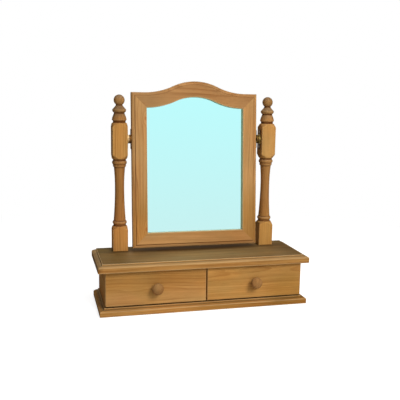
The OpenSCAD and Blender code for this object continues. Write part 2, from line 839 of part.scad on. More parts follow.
module drawer_front() {
  color(PINE) difference() {
    rounded_front();
    for (inner = [false, true]) translate([side_x(inner), box_front_y, front_z - over])
      linear_extrude(box_z + box_h - front_z + over) dovetail();
    translate([-bay_x - box_w / 2 + box_t - groove, box_front_y - groove, box_z + bottom_rise])
      cube([box_w - 2 * box_t + 2 * groove, groove + over, bottom_t]);
    translate([-front_x, box_front_y, knob_z]) rotate([90, 0, 0])
      translate([0, 0, -over]) cylinder(h = front_t + 2 * over, d = knob_screw_d + 2 * fit_gap);
  }
}

module drawer_back() {
  w = box_w - 2 * box_t + 2 * groove;
  color(PINE_INSIDE) difference() {
    translate([-bay_x - w / 2, box_back_y - 2 * box_t, box_z + bottom_rise + bottom_t])
      cube([w, box_t, box_h - bottom_rise - bottom_t]);
    bottom_screw_set(fit_gap);
  }
}

module drawer_bottom() {
  w = box_w - 2 * box_t + 2 * groove;
  color(PINE_INSIDE) difference() {
    translate([-bay_x - w / 2, box_front_y - groove, box_z + bottom_rise])
      cube([w, box_back_y - box_front_y + groove, bottom_t]);
    bottom_screw_set(fit_gap);
  }
}

// Screws up through the bottom into the middle of the drawer's back
module bottom_screw_set(gap = 0) {
  for (x = [-box_w / 4, box_w / 4])
    translate([x - bay_x, box_back_y - 1.5 * box_t, box_z + bottom_rise])
      csk_screw(bottom_screw_d, bottom_screw_l, gap);
}

// Mushroom knob turned about +Z, its foot on the origin
module turned_knob() {
  foot_r = knob_foot_d / 2;
  neck_r = knob_neck_d / 2;
  head_r = knob_d / 2;
  foot_z = 2.2;
  collar_r = foot_r - 0.4;
  neck_z = knob_h / 3;
  rim_z = knob_h - 10;
  under_r = head_r - 1.2;
  under_h = rim_z - 1.6 - neck_z;
  rotate_extrude() polygon(concat(
    [[0, 0], [foot_r - 0.5, 0], [foot_r, 0.8], [collar_r, foot_z]],
    [for (i = [1:6]) [neck_r + (collar_r - neck_r) * pow(1 - i / 6, 2), foot_z + (neck_z - foot_z) * i / 6]],
    [for (i = [1:6]) [neck_r + (under_r - neck_r) * (1 - cos(15 * i)), neck_z + under_h * sin(15 * i)]],
    [[head_r, rim_z]],
    [for (i = [1:10]) [head_r * cos(9 * i), rim_z + (knob_h - rim_z) * sin(9 * i)]]
  ));
}

module drawer_knob() {
  color(PINE_DARK) translate([-front_x, front_y, knob_z]) rotate([90, 0, 0]) difference() {
    turned_knob();
    translate([0, 0, -front_t]) round_screw(knob_screw_d, front_t + knob_screw_in, fit_gap);
  }
}

module drawer_knob_screw() {
  color(STEEL) translate([-front_x, box_front_y, knob_z]) rotate([90, 0, 0])
    round_screw(knob_screw_d, front_t + knob_screw_in);
}

module on_right() {
  mirror([1, 0, 0]) children();
}

base_board();
top_board();
side_panel(-1);  // side_panel_left
side_panel(1);  // side_panel_right
centre_divider();
back_panel();
color(PINE_INSIDE) top_dowel_set();  // top_dowels
color(STEEL) base_screw_set();  // base_screws
color(STEEL) back_screw_set();  // back_screws
post(-1);  // post_left
post(1);  // post_right
color(STEEL) post_screw_set();  // post_screws
post_plate(-1);  // post_plate_left
post_plate(1);  // post_plate_right
color(BRASS) post_plate_screw_set();  // post_plate_screws
stile(-1);  // frame_stile_left
stile(1);  // frame_stile_right
frame_rail_bottom();
frame_rail_top();
color(PINE_INSIDE) hang_mirror() mitre_dowel_set();  // mitre_dowels
mirror_glass();
mirror_backing();
backing_pins();
frame_plate(-1);  // frame_plate_left
frame_plate(1);  // frame_plate_right
color(BRASS) frame_plate_screw_set();  // frame_plate_screws
friction_washer(-1);  // friction_washer_left
friction_washer(1);  // friction_washer_right
drawer_front();  // drawer_left_front
drawer_side(false);  // drawer_left_side_left
drawer_side(true);  // drawer_left_side_right
drawer_back();  // drawer_left_back
drawer_bottom();  // drawer_left_bottom
color(STEEL) bottom_screw_set();  // drawer_left_bottom_screws
drawer_knob();  // drawer_left_knob
drawer_knob_screw();  // drawer_left_knob_screw
on_right() drawer_front();  // drawer_right_front
on_right() drawer_side(true);  // drawer_right_side_left
on_right() drawer_side(false);  // drawer_right_side_right
on_right() drawer_back();  // drawer_right_back
on_right() drawer_bottom();  // drawer_right_bottom
on_right() color(STEEL) bottom_screw_set();  // drawer_right_bottom_screws
on_right() drawer_knob();  // drawer_right_knob
on_right() drawer_knob_screw();  // drawer_right_knob_screw
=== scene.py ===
import json
import math

import bmesh
import bpy
from mathutils import Euler, Matrix, Vector

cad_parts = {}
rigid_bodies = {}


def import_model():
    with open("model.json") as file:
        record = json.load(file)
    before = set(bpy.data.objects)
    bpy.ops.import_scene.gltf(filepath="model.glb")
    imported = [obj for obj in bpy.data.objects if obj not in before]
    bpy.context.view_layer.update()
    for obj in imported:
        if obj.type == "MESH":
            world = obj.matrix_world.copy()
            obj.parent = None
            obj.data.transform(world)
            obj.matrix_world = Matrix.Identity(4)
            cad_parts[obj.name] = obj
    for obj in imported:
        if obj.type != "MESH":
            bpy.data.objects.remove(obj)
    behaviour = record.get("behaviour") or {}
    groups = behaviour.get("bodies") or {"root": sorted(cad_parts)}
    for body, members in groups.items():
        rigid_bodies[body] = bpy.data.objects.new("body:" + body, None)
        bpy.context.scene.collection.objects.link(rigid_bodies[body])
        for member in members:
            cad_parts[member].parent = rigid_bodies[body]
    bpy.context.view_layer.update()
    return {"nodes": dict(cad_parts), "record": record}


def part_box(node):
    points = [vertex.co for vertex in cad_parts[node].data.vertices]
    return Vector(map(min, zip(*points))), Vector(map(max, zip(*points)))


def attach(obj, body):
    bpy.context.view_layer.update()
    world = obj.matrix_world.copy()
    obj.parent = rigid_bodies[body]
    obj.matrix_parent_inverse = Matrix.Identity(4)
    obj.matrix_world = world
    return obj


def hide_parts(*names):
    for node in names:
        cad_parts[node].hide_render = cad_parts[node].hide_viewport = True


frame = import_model()
nodes = frame["nodes"]

# Driving sizes in millimetres and the lean in degrees, the same as in the part's source
BOARD_W, BOARD_D = 600.0, 200.0
TOP_T, BASE_T, BASE_INSET = 22.0, 20.5, 4.0
MOULD_W, MOULD_STEP, MOULD_R, MOULD_NOSE_R = 13.0, 3.0, 24.0, 3.0
END_OVERHANG, CARCASS_H = 20.0, 99.5
FRONT_SETBACK, FRONT_GAP_TOP, FRONT_GAP_LOW, CENTRE_GAP = 12.0, 2.0, 3.5, 3.0
KNOB_D, KNOB_H, KNOB_FOOT_D, KNOB_NECK_D = 32.0, 27.0, 19.0, 13.0
POST_BACK, BLOCK_W = 29.5, 43.0
LOWER_BLOCK_H, UPPER_BLOCK_H, FINIAL_H = 72.5, 103.0, 78.0
SHOULDER_H, SHOULDER_IN, SHOULDER_OUT, CORNER_DROP = 7.0, 4.5, 2.0, 13.0
SHAFT_R, SHAFT_FOOT_R, SHAFT_TOP_R = 13.2, 17.4, 16.0
LOW_BEAD_R, HIGH_BEAD_R, BELL_R, RING_R, BALL_R = 20.4, 21.0, 20.6, 19.4, 15.4
NECK_CUT, NECK_HOLLOW, LOW_NECK_H, COLLAR_NECK_H = 3.0, 0.6, 5.0, 4.0
BEAD_HALF_H, BEAD_GAP, COLLAR_HALF_H, CREST_DROP, WAIST_SHARE = 4.0, 0.5, 4.8, 22.5, 0.59
FRAME_W, FRAME_DOWN, FRAME_UP, FRAME_T, MEMBER_W = 373.0, 313.5, 132.0, 22.0, 43.0
OUTER_RISE, OUTER_CROWN_R, LEVEL_W = 33.5, 155.0, 36.5
INNER_RISE, INNER_CROWN_R = 31.5, 140.0
EDGE_W, EDGE_STEP, EDGE_R, EDGE_NOSE_R = 10.0, 1.5, 18.0, 2.5
REBATE_W, LIP_T = 8.0, 10.0
MIRROR_GAP, FRAME_LIFT, PIVOT_IN_BLOCK = 13.0, 7.5, 56.5
LEAN = 4.0

# Sizes and places that follow from them, with the blocks and finial measured from a post's foot
TOP_Z = BASE_T + CARCASS_H
POST_Z = TOP_Z + TOP_T
FRONT_W = (BOARD_W - 2 * END_OVERHANG - CENTRE_GAP) / 2
FRONT_H = CARCASS_H - FRONT_GAP_LOW - FRONT_GAP_TOP
FRONT_X = (FRONT_W + CENTRE_GAP) / 2
FRONT_Y = -BOARD_D / 2 + FRONT_SETBACK
KNOB_Z = BASE_T + FRONT_GAP_LOW + FRONT_H / 2
POST_X = FRAME_W / 2 + MIRROR_GAP + BLOCK_W / 2
POST_Y = BOARD_D / 2 - POST_BACK
PIVOT_UP = FRAME_DOWN + FRAME_LIFT
PIVOT_Z = POST_Z + PIVOT_UP
SHAFT_H = PIVOT_UP - PIVOT_IN_BLOCK - LOWER_BLOCK_H
UPPER_BLOCK_Z = LOWER_BLOCK_H + SHAFT_H
FINIAL_Z = UPPER_BLOCK_Z + UPPER_BLOCK_H
PAST_ARRIS = BLOCK_W / 2 * math.sqrt(2) + 1
OUTER_SPREAD = FRAME_W / 2 - LEVEL_W
OPENING_HALF = FRAME_W / 2 - MEMBER_W
OPENING_SHOULDER = FRAME_UP - MEMBER_W
GLASS_FACE = FRAME_T - LIP_T
FINIAL_NECK_R = 0.89 * BELL_R

# A millimetre in metres
MM = 0.001


# Colours

def linear(r, g, b):
    """A colour written as 0 to 255 on a screen, as the shader's own values."""
    return tuple(c / 3294.6 if c <= 10 else ((c / 255 + 0.055) / 1.055) ** 2.4 for c in (r, g, b)) + (1.0,)


# Pine in less light turns redder, since green and blue fall faster than red
GREEN_POWER, BLUE_POWER = 1.12, 1.3


def dim(share):
    """What is left of red, green and blue where pine has this share of its light."""
    return share, share ** GREEN_POWER, share ** BLUE_POWER


# Early and late wood, and the rings of a knot
HONEY = linear(194, 145, 80), linear(140, 90, 42)
DARK_HONEY = linear(184, 135, 73), linear(130, 82, 38)
FRAME_TONE = linear(194, 148, 93), linear(147, 98, 54)
TOP_RAIL_TONE = linear(178, 134, 86), linear(132, 87, 47)
PALE_POST = linear(198, 150, 87), linear(148, 102, 52)
END_GRAIN = linear(164, 120, 72), linear(124, 84, 44)
BARE = linear(214, 178, 126), linear(180, 132, 76)
KNOT_HEART = linear(176, 88, 36), linear(132, 60, 24)

# What painted shade and sheen on top faces, the darkening of turned lengths and a painted sheen on their
# upward slopes leave of the wood's own colour, and then the colours of wear with painted highlight, of dirt
# with painted shade, and of painted light on the lip round the glass
TOP_SHADE_AND_SHEEN = (0.58, 0.73, 1.04, 1.0)
TURNED_DARKENING = (0.76, 0.69, 0.7, 1.0)
UPWARD_SHEEN = (0.86, 0.97, 1.35, 1.0)
WEAR_AND_SHEEN = linear(190, 158, 112)
GRIME_AND_SHADE = linear(80, 42, 18)
LIT_LIP_COLOUR = linear(226, 206, 172)


# Node trees

def add(tree, kind, inputs=None, **properties):
    """Adds a node; inputs are values or the sockets that feed them."""
    made = tree.nodes.new(kind)
    for name, value in properties.items():
        setattr(made, name, value)
    for name, value in (inputs or {}).items():
        if isinstance(value, bpy.types.NodeSocket):
            tree.links.new(value, made.inputs[name])
        else:
            made.inputs[name].default_value = value
    return made


def maths(tree, operation, *values):
    return add(tree, "ShaderNodeMath", dict(enumerate(values)), operation=operation).outputs[0]


def times(tree, a, b):
    return maths(tree, "MULTIPLY", a, b)


def vector_maths(tree, operation, *values):
    made = add(tree, "ShaderNodeVectorMath", dict(enumerate(values)), operation=operation)
    return made.outputs["Value" if operation == "LENGTH" else "Vector"]


def spread(tree, value, low, high, to_low, to_high, smooth=False):
    """Maps a value from one range to another and holds it there."""
    inputs = {"Value": value, "From Min": low, "From Max": high, "To Min": to_low, "To Max": to_high}
    return add(tree, "ShaderNodeMapRange", inputs,
               interpolation_type="SMOOTHSTEP" if smooth else "LINEAR").outputs["Result"]


def mix(tree, factor, a, b, blend="MIX"):
    inputs = {0: factor, 6: a, 7: b}
    return add(tree, "ShaderNodeMix", inputs, data_type="RGBA", blend_type=blend).outputs[2]


def ramp(tree, factor, stops):
    made = add(tree, "ShaderNodeValToRGB", {"Fac": factor})
    elements = made.color_ramp.elements
    while len(elements) < len(stops):
        elements.new(0.5)
    for element, (place, value) in zip(elements, stops):
        element.position = place
        element.color = (value, value, value, 1.0)
    return made.outputs["Color"]


def noise(tree, place, scale, detail=2.0, roughness=0.5, output="Fac"):
    inputs = {"Vector": place, "Scale": scale, "Detail": detail, "Roughness": roughness}
    return add(tree, "ShaderNodeTexNoise", inputs).outputs[output]


def coordinate(tree, kind="Object"):
    return add(tree, "ShaderNodeTexCoord").outputs[kind]


def axis_of(tree, vector, axis):
    return add(tree, "ShaderNodeSeparateXYZ", {"Vector": vector}).outputs[axis]


def mark(tree, name):
    """A number that the modelled pieces carry at each of their points; 0 on other pieces."""
    return add(tree, "ShaderNodeAttribute", attribute_name=name).outputs["Fac"]


def empty_tree(owner):
    """The cleared node tree of a material or a world."""
    owner.use_nodes = True
    owner.node_tree.nodes.clear()
    return owner.node_tree


def bumped(tree, shader, **inputs):
    bump = add(tree, "ShaderNodeBump", inputs)
    tree.links.new(bump.outputs["Normal"], shader.inputs["Normal"])


def new_material(name):
    material = bpy.data.materials.new(name)
    tree = empty_tree(material)
    shader = add(tree, "ShaderNodeBsdfPrincipled")
    add(tree, "ShaderNodeOutputMaterial", {"Surface": shader.outputs["BSDF"]})
    return material, tree, shader


# Pine, with every place and size in metres

# Turns that lay the X axis along the grain
ALONG = {
    "x": Euler((0, 0, 0)),
    "y": Euler((0, 0, math.pi / 2)),
    "z": Euler((0, -math.pi / 2, 0)),
}
ALONG["stile"] = (Euler((math.radians(-LEAN), 0, 0)).to_matrix() @ ALONG["z"].to_matrix()).to_euler()

# How far the pith wanders, how far rings ripple, and by how many rings their width drifts
PITH_BEND, RING_RIPPLE, RING_DRIFT = 0.03, 0.0024, 2.6

# A year from early to late wood, as pairs of season and darkness
SEASONS = [(0.0, 0.0), (0.42, 0.1), (0.74, 0.55), (0.9, 1.0), (0.965, 0.9), (1.0, 0.0)]

# Noise in the wood: whether it follows the wandering pith, its waves a metre along and across the grain,
# and its scale, detail and roughness
FIGURE = {
    "streak": (True, 4.0, 130.0, 1.0, 3.0, 0.6),
    "patch": (False, 8.0, 22.0, 1.0, 3.0, 0.55),
    "warmth": (False, 5.0, 13.0, 1.7, 2.0, 0.5),
    "fibre": (True, 45.0, 1500.0, 1.0, 2.0, 0.6),
    "pore": (True, 70.0, 2300.0, 1.0, 1.0, 0.5),
}

# How that noise makes the wood paler or darker: its range, the light at both ends, and if it is smoothed
FIGURE_LIGHT = {
    "streak": (0.25, 0.75, 0.84, 1.12),
    "patch": (0.25, 0.75, 0.88, 1.1),
    "fibre": (0.2, 0.8, 0.92, 1.08),
    "pore": (0.66, 0.74, 1.0, 0.8, True),
}

# How far green moves where the wood is warmer or cooler, with blue moving twice as far
WARMTH = 0.06

# A knot's flattened shape, its reach and push on the rings in its own sizes, its rings a metre and strength
KNOT_SHAPE = (1.0, 0.0, 0.6)
KNOT_REACH, KNOT_PUSH = 4.5, 1.6
KNOT_RINGS, KNOT_STRENGTH = 900.0, 0.5

# Roughness of waxed and bare pine, the depth of its grain, and the rounding of sawn arrises
WAXED_ROUGH, BARE_ROUGH = (0.4, 0.56), (0.62, 0.8)
GRAIN_DEPTH, SAWN_EASING = 0.00035, 0.0007


def stretched(tree, place, along, across):
    """A place with its own number of waves along the grain and across it."""
    return vector_maths(tree, "MULTIPLY", place, (along, across, across))


def wandering(tree, local, slow):
    """The place in a trunk that wanders, and its distance from the pith in rings that aren't quite round."""
    bend = vector_maths(tree, "SUBTRACT", noise(tree, slow, 1.0, output="Color"), (0.5, 0.5, 0.5))
    bent = vector_maths(tree, "ADD", local, stretched(tree, bend, 0.0, PITH_BEND))
    crooked = noise(tree, stretched(tree, local, 9.0, 70.0), 1.0)
    ripple = times(tree, maths(tree, "SUBTRACT", crooked, 0.5), RING_RIPPLE)
    radius = vector_maths(tree, "LENGTH", stretched(tree, bent, 0.0, 1.0))
    return bent, maths(tree, "ADD", radius, ripple)


def pushed_aside(tree, coordinates, radius, knots):
    """The rings as knots push them aside, and each knot's mask with the distance from its middle."""
    marks = []
    for centre, size in knots:
        away = vector_maths(tree, "SUBTRACT", coordinates, centre)
        distance = vector_maths(tree, "LENGTH", vector_maths(tree, "MULTIPLY", away, KNOT_SHAPE))
        near = spread(tree, distance, 0.0, size * KNOT_REACH, 1.0, 0.0, smooth=True)
        radius = maths(tree, "ADD", radius, times(tree, near, size * KNOT_PUSH))
        marks.append((spread(tree, distance, size * 0.6, size * 1.2, 1.0, 0.0, smooth=True), distance))
    return radius, marks


def growth_rings(tree, radius, slow, ring, contrast):
    """Late wood, which darkens slowly and ends in a clean line each year, and its share of the colour."""
    years = maths(tree, "DIVIDE", radius, ring)
    drift = noise(tree, add(tree, "ShaderNodeCombineXYZ", {"X": years}).outputs[0], 0.35, 1.0)
    years = maths(tree, "ADD", years, times(tree, drift, RING_DRIFT))
    late_wood = ramp(tree, maths(tree, "FRACT", years), SEASONS)
    strength = spread(tree, noise(tree, slow, 2.3, 1.0), 0.3, 0.7, 0.35 * contrast, contrast)
    base_tone = spread(tree, noise(tree, slow, 1.4), 0.3, 0.7, 0.05, 0.4)
    return late_wood, maths(tree, "ADD", base_tone, times(tree, late_wood, strength))


def stained(tree, colour, figure):
    """Streaks, patches that took the stain unevenly, fibres and pores."""
    light = 1.0
    for kind, limits in FIGURE_LIGHT.items():
        light = times(tree, light, spread(tree, figure[kind], *limits))
    red = spread(tree, figure["warmth"], 0.3, 0.7, -WARMTH, WARMTH)
    green = maths(tree, "SUBTRACT", maths(tree, "POWER", light, GREEN_POWER), red)
    blue = maths(tree, "SUBTRACT", maths(tree, "POWER", light, BLUE_POWER), times(tree, red, 2.0))
    shade = add(tree, "ShaderNodeCombineXYZ", {"X": light, "Y": green, "Z": blue})
    return mix(tree, 1.0, colour, shade.outputs[0], "MULTIPLY")


def shaded(tree, colour, coordinates, shades):
    """Broad paler and darker places, mostly painted light and shade, full in their middle and faded out at
    their size.
    """
    for centre, size, shares in shades:
        away = vector_maths(tree, "DIVIDE", vector_maths(tree, "SUBTRACT", coordinates, centre), size)
        near = spread(tree, vector_maths(tree, "LENGTH", away), 0.3, 1.0, 1.0, 0.0, smooth=True)
        colour = mix(tree, near, colour, (*shares, 1.0), "MULTIPLY")
    return colour


def knotted(tree, colour, marks):
    for mask, distance in marks:
        rings = maths(tree, "FRACT", times(tree, distance, KNOT_RINGS))
        heart = mix(tree, rings, *KNOT_HEART)
        colour = mix(tree, times(tree, mask, KNOT_STRENGTH), colour, heart)
    return colour


def edge_distance(tree, coordinates, box):
    """Distance to the nearest edge of a box: the middle one of the distances to its faces."""
    low, high = box
    from_low = vector_maths(tree, "SUBTRACT", coordinates, low)
    from_high = vector_maths(tree, "SUBTRACT", high, coordinates)
    near = vector_maths(tree, "MINIMUM", from_low, from_high)
    x, y, z = (axis_of(tree, near, axis) for axis in "XYZ")
    return maths(tree, "MAXIMUM", maths(tree, "MINIMUM", x, y),
                 maths(tree, "MINIMUM", maths(tree, "MAXIMUM", x, y), z))


def wear_and_painted_light(tree, colour, coordinates, patch, box, waxed):
    """Paints shade and a grey sheen on top faces, darkens turned lengths and paints a sheen on their upward
    slopes, pales arrises with wear and painted highlight, darkens hollows with dirt and painted shade, and
    paints light on the lip round the glass.
    """
    facing = axis_of(tree, coordinate(tree, "Normal"), "Z")
    level = spread(tree, facing, 0.93, 0.995, 0.0, 1.0, smooth=True)
    sloped = spread(tree, facing, 0.1, 0.6, 0.0, 1.0, smooth=True)
    turned, relief = mark(tree, "turned"), mark(tree, "relief")
    if box:
        wear_sheen = spread(tree, edge_distance(tree, coordinates, box), 0.0025, 0.0004, 0.0, 0.5, smooth=True)
    else:
        wear_sheen = spread(tree, relief, 0.3, 1.4, 0.0, 0.65, smooth=True)
    grime_shade_mask = spread(tree, relief, -0.12, -0.9, 0.0, 0.92, smooth=True)
    lit_lip = spread(tree, relief, 2.0, 2.6, 0.0, 0.85)
    uneven = spread(tree, patch, 0.3, 0.7, 0.6, 1.0)

    colour = mix(tree, times(tree, level, 1.0 if waxed else 0.4), colour, TOP_SHADE_AND_SHEEN, "MULTIPLY")
    colour = mix(tree, turned, colour, TURNED_DARKENING, "MULTIPLY")
    colour = mix(tree, times(tree, turned, sloped), colour, UPWARD_SHEEN, "MULTIPLY")
    colour = mix(tree, times(tree, wear_sheen, uneven), colour, WEAR_AND_SHEEN if waxed else BARE[0])
    colour = mix(tree, times(tree, grime_shade_mask, uneven), colour, GRIME_AND_SHADE)
    return mix(tree, lit_lip, colour, LIT_LIP_COLOUR)


def pine(name, along, pith, tones, ring=0.0042, contrast=0.6, knots=(), shades=(), box=None, waxed=True):
    """Pine cut from a trunk whose pith runs through the point pith in the direction along.

    The tones are those of early and late wood, ring is a year's width, and each knot has a centre and a size.
    Each of the shades, broad places of painted light and shade and other paler or darker tone, has a centre,
    a size along each axis and what is left of each colour at its centre. A box gives the low and high corners
    of a square-edged piece, for the wear and painted highlight on its edges.
    """
    material, tree, shader = new_material(name)
    coordinates = coordinate(tree)
    turn = {"Vector": coordinates, "Location": pith, "Rotation": ALONG[along]}
    local = add(tree, "ShaderNodeMapping", turn, vector_type="TEXTURE").outputs["Vector"]
    slow = stretched(tree, local, 2.2, 7.0)
    bent, radius = wandering(tree, local, slow)
    radius, marks = pushed_aside(tree, coordinates, radius, knots)
    late_wood, late_share = growth_rings(tree, radius, slow, ring, contrast)
    figure = {}
    for kind, (follows, waves_along, waves_across, *settings) in FIGURE.items():
        place = stretched(tree, bent if follows else local, waves_along, waves_across)
        figure[kind] = noise(tree, place, *settings)

    colour = stained(tree, mix(tree, late_share, *tones), figure)
    colour = knotted(tree, shaded(tree, colour, coordinates, shades), marks)
    colour = wear_and_painted_light(tree, colour, coordinates, figure["patch"], box, waxed)
    tree.links.new(colour, shader.inputs["Base Color"])

    rough = maths(tree, "ADD", times(tree, figure["fibre"], 0.6), times(tree, figure["patch"], 0.6))
    rough = spread(tree, rough, 0.3, 0.9, *(WAXED_ROUGH if waxed else BARE_ROUGH))
    tree.links.new(rough, shader.inputs["Roughness"])
    height = maths(tree, "ADD", times(tree, figure["fibre"], 0.5), times(tree, late_wood, 0.35))
    height = maths(tree, "ADD", height, times(tree, figure["streak"], 0.4))
    bump = {"Height": height, "Strength": 0.35, "Distance": GRAIN_DEPTH}
    if box:
        bump["Normal"] = add(tree, "ShaderNodeBevel", {"Radius": SAWN_EASING}, samples=4).outputs["Normal"]
    bumped(tree, shader, **bump)
    shader.inputs["Specular IOR Level"].default_value = 0.0
    shader.inputs["Metallic"].default_value = 0.06 if waxed else 0.0
    return material


# Other materials

# How far a bright patch reaches round a pivot and where it ends, and the rounding of metal edges, in metres
BRIGHT_R, DULL_R = 0.0125, 0.016
METAL_EASING = 0.0004


def metal(name, bright, dull_and_shaded, least_rough, most_rough, scale, pivot=None):
    """Metal that has gone dull unevenly and, given a pivot, is dull everywhere but close to it, which on the
    brass plates is painted shade.
    """
    material, tree, shader = new_material(name)
    place = coordinate(tree)
    cloud = noise(tree, place, scale, 4.0, 0.6)
    grain = noise(tree, place, scale * 22, 2.0, 0.6)
    tarnish_and_shade = spread(tree, cloud, 0.35, 0.68, 0.0, 0.85, smooth=True)
    if pivot:
        away = stretched(tree, vector_maths(tree, "SUBTRACT", place, pivot), 0.0, 1.0)
        far = spread(tree, vector_maths(tree, "LENGTH", away), BRIGHT_R, DULL_R, 0.0, 1.0, smooth=True)
        tarnish_and_shade = maths(tree, "MAXIMUM", tarnish_and_shade, far)
    tree.links.new(mix(tree, tarnish_and_shade, bright, dull_and_shaded), shader.inputs["Base Color"])
    blend = maths(tree, "ADD", times(tree, tarnish_and_shade, 0.7), times(tree, grain, 0.3))
    tree.links.new(spread(tree, blend, 0.0, 1.0, least_rough, most_rough), shader.inputs["Roughness"])
    edge = add(tree, "ShaderNodeBevel", {"Radius": METAL_EASING}, samples=4).outputs["Normal"]
    bumped(tree, shader, Height=grain, Strength=0.2, Distance=0.00008, Normal=edge)
    shader.inputs["Metallic"].default_value = 1.0
    return material


def matte(name, pale, dark, scale, rough, height):
    """Pressed fibre, speckled and rough."""
    material, tree, shader = new_material(name)
    place = coordinate(tree)
    speck = noise(tree, place, scale, 3.0, 0.7)
    cloud = noise(tree, place, scale / 40)
    blend = maths(tree, "ADD", times(tree, speck, 0.65), times(tree, cloud, 0.35))
    colour = mix(tree, spread(tree, blend, 0.32, 0.68, 0.0, 1.0), dark, pale)
    tree.links.new(colour, shader.inputs["Base Color"])
    tree.links.new(spread(tree, speck, 0.3, 0.7, rough - 0.08, rough + 0.1), shader.inputs["Roughness"])
    bumped(tree, shader, Height=speck, Strength=0.4, Distance=height)
    return material


def silvered(name):
    """Silvered glass whose colour, a little greener low down, is a painted reflection, with the faintest
    smears.
    """
    material, tree, shader = new_material(name)
    place = coordinate(tree)
    rise = spread(tree, axis_of(tree, place, "Z"), 0.19, 0.58, 0.0, 1.0)
    painted_reflection = mix(tree, rise, linear(199, 242, 241), linear(189, 252, 253))
    tree.links.new(painted_reflection, shader.inputs["Base Color"])
    smear = noise(tree, place, 14.0, 3.0)
    tree.links.new(spread(tree, smear, 0.35, 0.75, 0.004, 0.03), shader.inputs["Roughness"])
    shader.inputs["Metallic"].default_value = 1.0
    return material


def new_object(name, data):
    """A new object in the scene."""
    obj = bpy.data.objects.new(name, data)
    bpy.context.scene.collection.objects.link(obj)
    return obj


def new_mesh(name, bm):
    """A mesh from a bmesh, which is freed."""
    mesh = bpy.data.meshes.new(name)
    bm.to_mesh(mesh)
    bm.free()
    return mesh


def assign(obj, material):
    obj.data.materials.clear()
    obj.data.materials.append(material)


# Outlines and skins, in millimetres

# Radius of the eased arrises, degrees between points on them, and the least turn that counts as a corner
EASING, EASING_STEP, LEAST_TURN = 0.7, 18.0, 15

# Distances from the ends of a straight stretch over which wear and dirt fade out
FADE_STEPS = (0.8, 1.6, 2.6, 4.0)

# Edges sharper than this many degrees aren't shaded smoothly
SMOOTH_UP_TO = 50


def arc(centre, radius, start, end, count):
    """Points on an arc, angles in degrees."""
    turns = [math.radians(start + (end - start) * i / count) for i in range(count + 1)]
    return [(centre[0] + radius * math.cos(a), centre[1] + radius * math.sin(a)) for a in turns]


def eased(points, radius, closed=False):
    """Rounds the sharp corners of an outline, each by no more than its sides allow."""
    count = len(points)
    made = []
    for i, point in enumerate(points):
        here, before, after = Vector(point), Vector(points[i - 1]), Vector(points[(i + 1) % count])
        back, on = before - here, after - here
        turn = math.pi - back.angle(on)
        if math.degrees(turn) < LEAST_TURN or not closed and i in (0, count - 1):
            made.append(tuple(point))
            continue
        reach = min(radius * math.tan(turn / 2), 0.45 * back.length, 0.45 * on.length)
        real = reach / math.tan(turn / 2)
        middle = here + (back.normalized() + on.normalized()).normalized() * (real / math.cos(turn / 2))
        first, last = here + back.normalized() * reach - middle, here + on.normalized() * reach - middle
        start = math.degrees(math.atan2(first.y, first.x))
        swing = (math.degrees(math.atan2(last.y, last.x)) - start + 180) % 360 - 180
        made += arc(middle, real, start, start + swing, max(2, round(math.degrees(turn) / EASING_STEP)))
    return made


def dense(points, closed=False):
    """Adds points near the ends of an outline's straight stretches, where wear and dirt fade out."""
    made = []
    for here, there in zip(points, points[1:] + points[:1] if closed else points[1:]):
        start, end = Vector(here), Vector(there)
        length = (end - start).length
        near = [d for d in FADE_STEPS if d < length / 2]
        made.append(here)
        made += [tuple(start.lerp(end, d / length)) for d in near + [length - d for d in reversed(near)]]
    return made if closed else made + [points[-1]]


def split_long(points, longest):
    """Adds points to an outline so that no stretch of it is longer than longest."""
    made = []
    for (x0, y0), (x1, y1) in zip(points, points[1:]):
        parts = max(1, math.ceil(math.hypot(x1 - x0, y1 - y0) / longest))
        made += [(x0 + (x1 - x0) * k / parts, y0 + (y1 - y0) * k / parts) for k in range(parts)]
    return made + [points[-1]]


def relief_of(points, closed=False, reach=1.6):
    """How far an outline turns near each of its points, positive where it stands proud."""
    count = len(points)
    corners = [Vector(p) for p in points]
    turns = [(corners[i] - corners[i - 1]).angle_signed(corners[(i + 1) % count] - corners[i])
             if closed or 0 < i < count - 1 else 0.0 for i in range(count)]
    return [sum(turn * math.exp(-((here - there).length / reach) ** 2) for turn, there in zip(turns, corners))
            for here in corners]


def loft(bm, rings, relief, turned=lambda ring, point: 0.0):
    """Faces between closed rings of points, with both ends filled, and two marks for the wood's shader."""
    for name in ("relief", "turned"):
        bm.verts.layers.float.new(name)
    relief_layer, turned_layer = (bm.verts.layers.float[name] for name in ("relief", "turned"))
    rows = [[bm.verts.new(p) for p in ring] for ring in rings]
    for i, row in enumerate(rows):
        for j, vert in enumerate(row):
            vert[relief_layer] = relief(i, j)
            vert[turned_layer] = turned(i, j)
    for low, high in zip(rows, rows[1:]):
        count = len(low)
        for i in range(count):
            j = (i + 1) % count
            bm.faces.new((low[i], low[j], high[j], high[i]))
    bm.faces.new(rows[0][::-1])
    bm.faces.new(rows[-1])


def smooth_piece(name, bm, material, body, node):
    """Turns a bmesh in millimetres into a shaded piece that stands for a CAD node."""
    bmesh.ops.remove_doubles(bm, verts=bm.verts, dist=0.002)
    bmesh.ops.recalc_face_normals(bm, faces=bm.faces)
    bm.normal_update()
    mesh = new_mesh(name, bm)
    mesh.transform(Matrix.Scale(MM, 4))
    mesh.shade_smooth()
    mesh.set_sharp_from_angle(angle=math.radians(SMOOTH_UP_TO))
    obj = new_object(name, mesh)
    obj.modifiers.new("Even shading", "WEIGHTED_NORMAL").keep_sharp = True
    assign(obj, material)
    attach(obj, body)
    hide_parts(node)


# Boards

# Plain strips modelled beside the moulding, below and above it
STRIP_BELOW, STRIP_ABOVE = 6.0, 12.0

# Radius of the front corners at the edge, how fast it falls inwards, and its least value
CORNER_R, CORNER_TAPER, LEAST_CORNER_R = 1.6, 0.1, 0.35

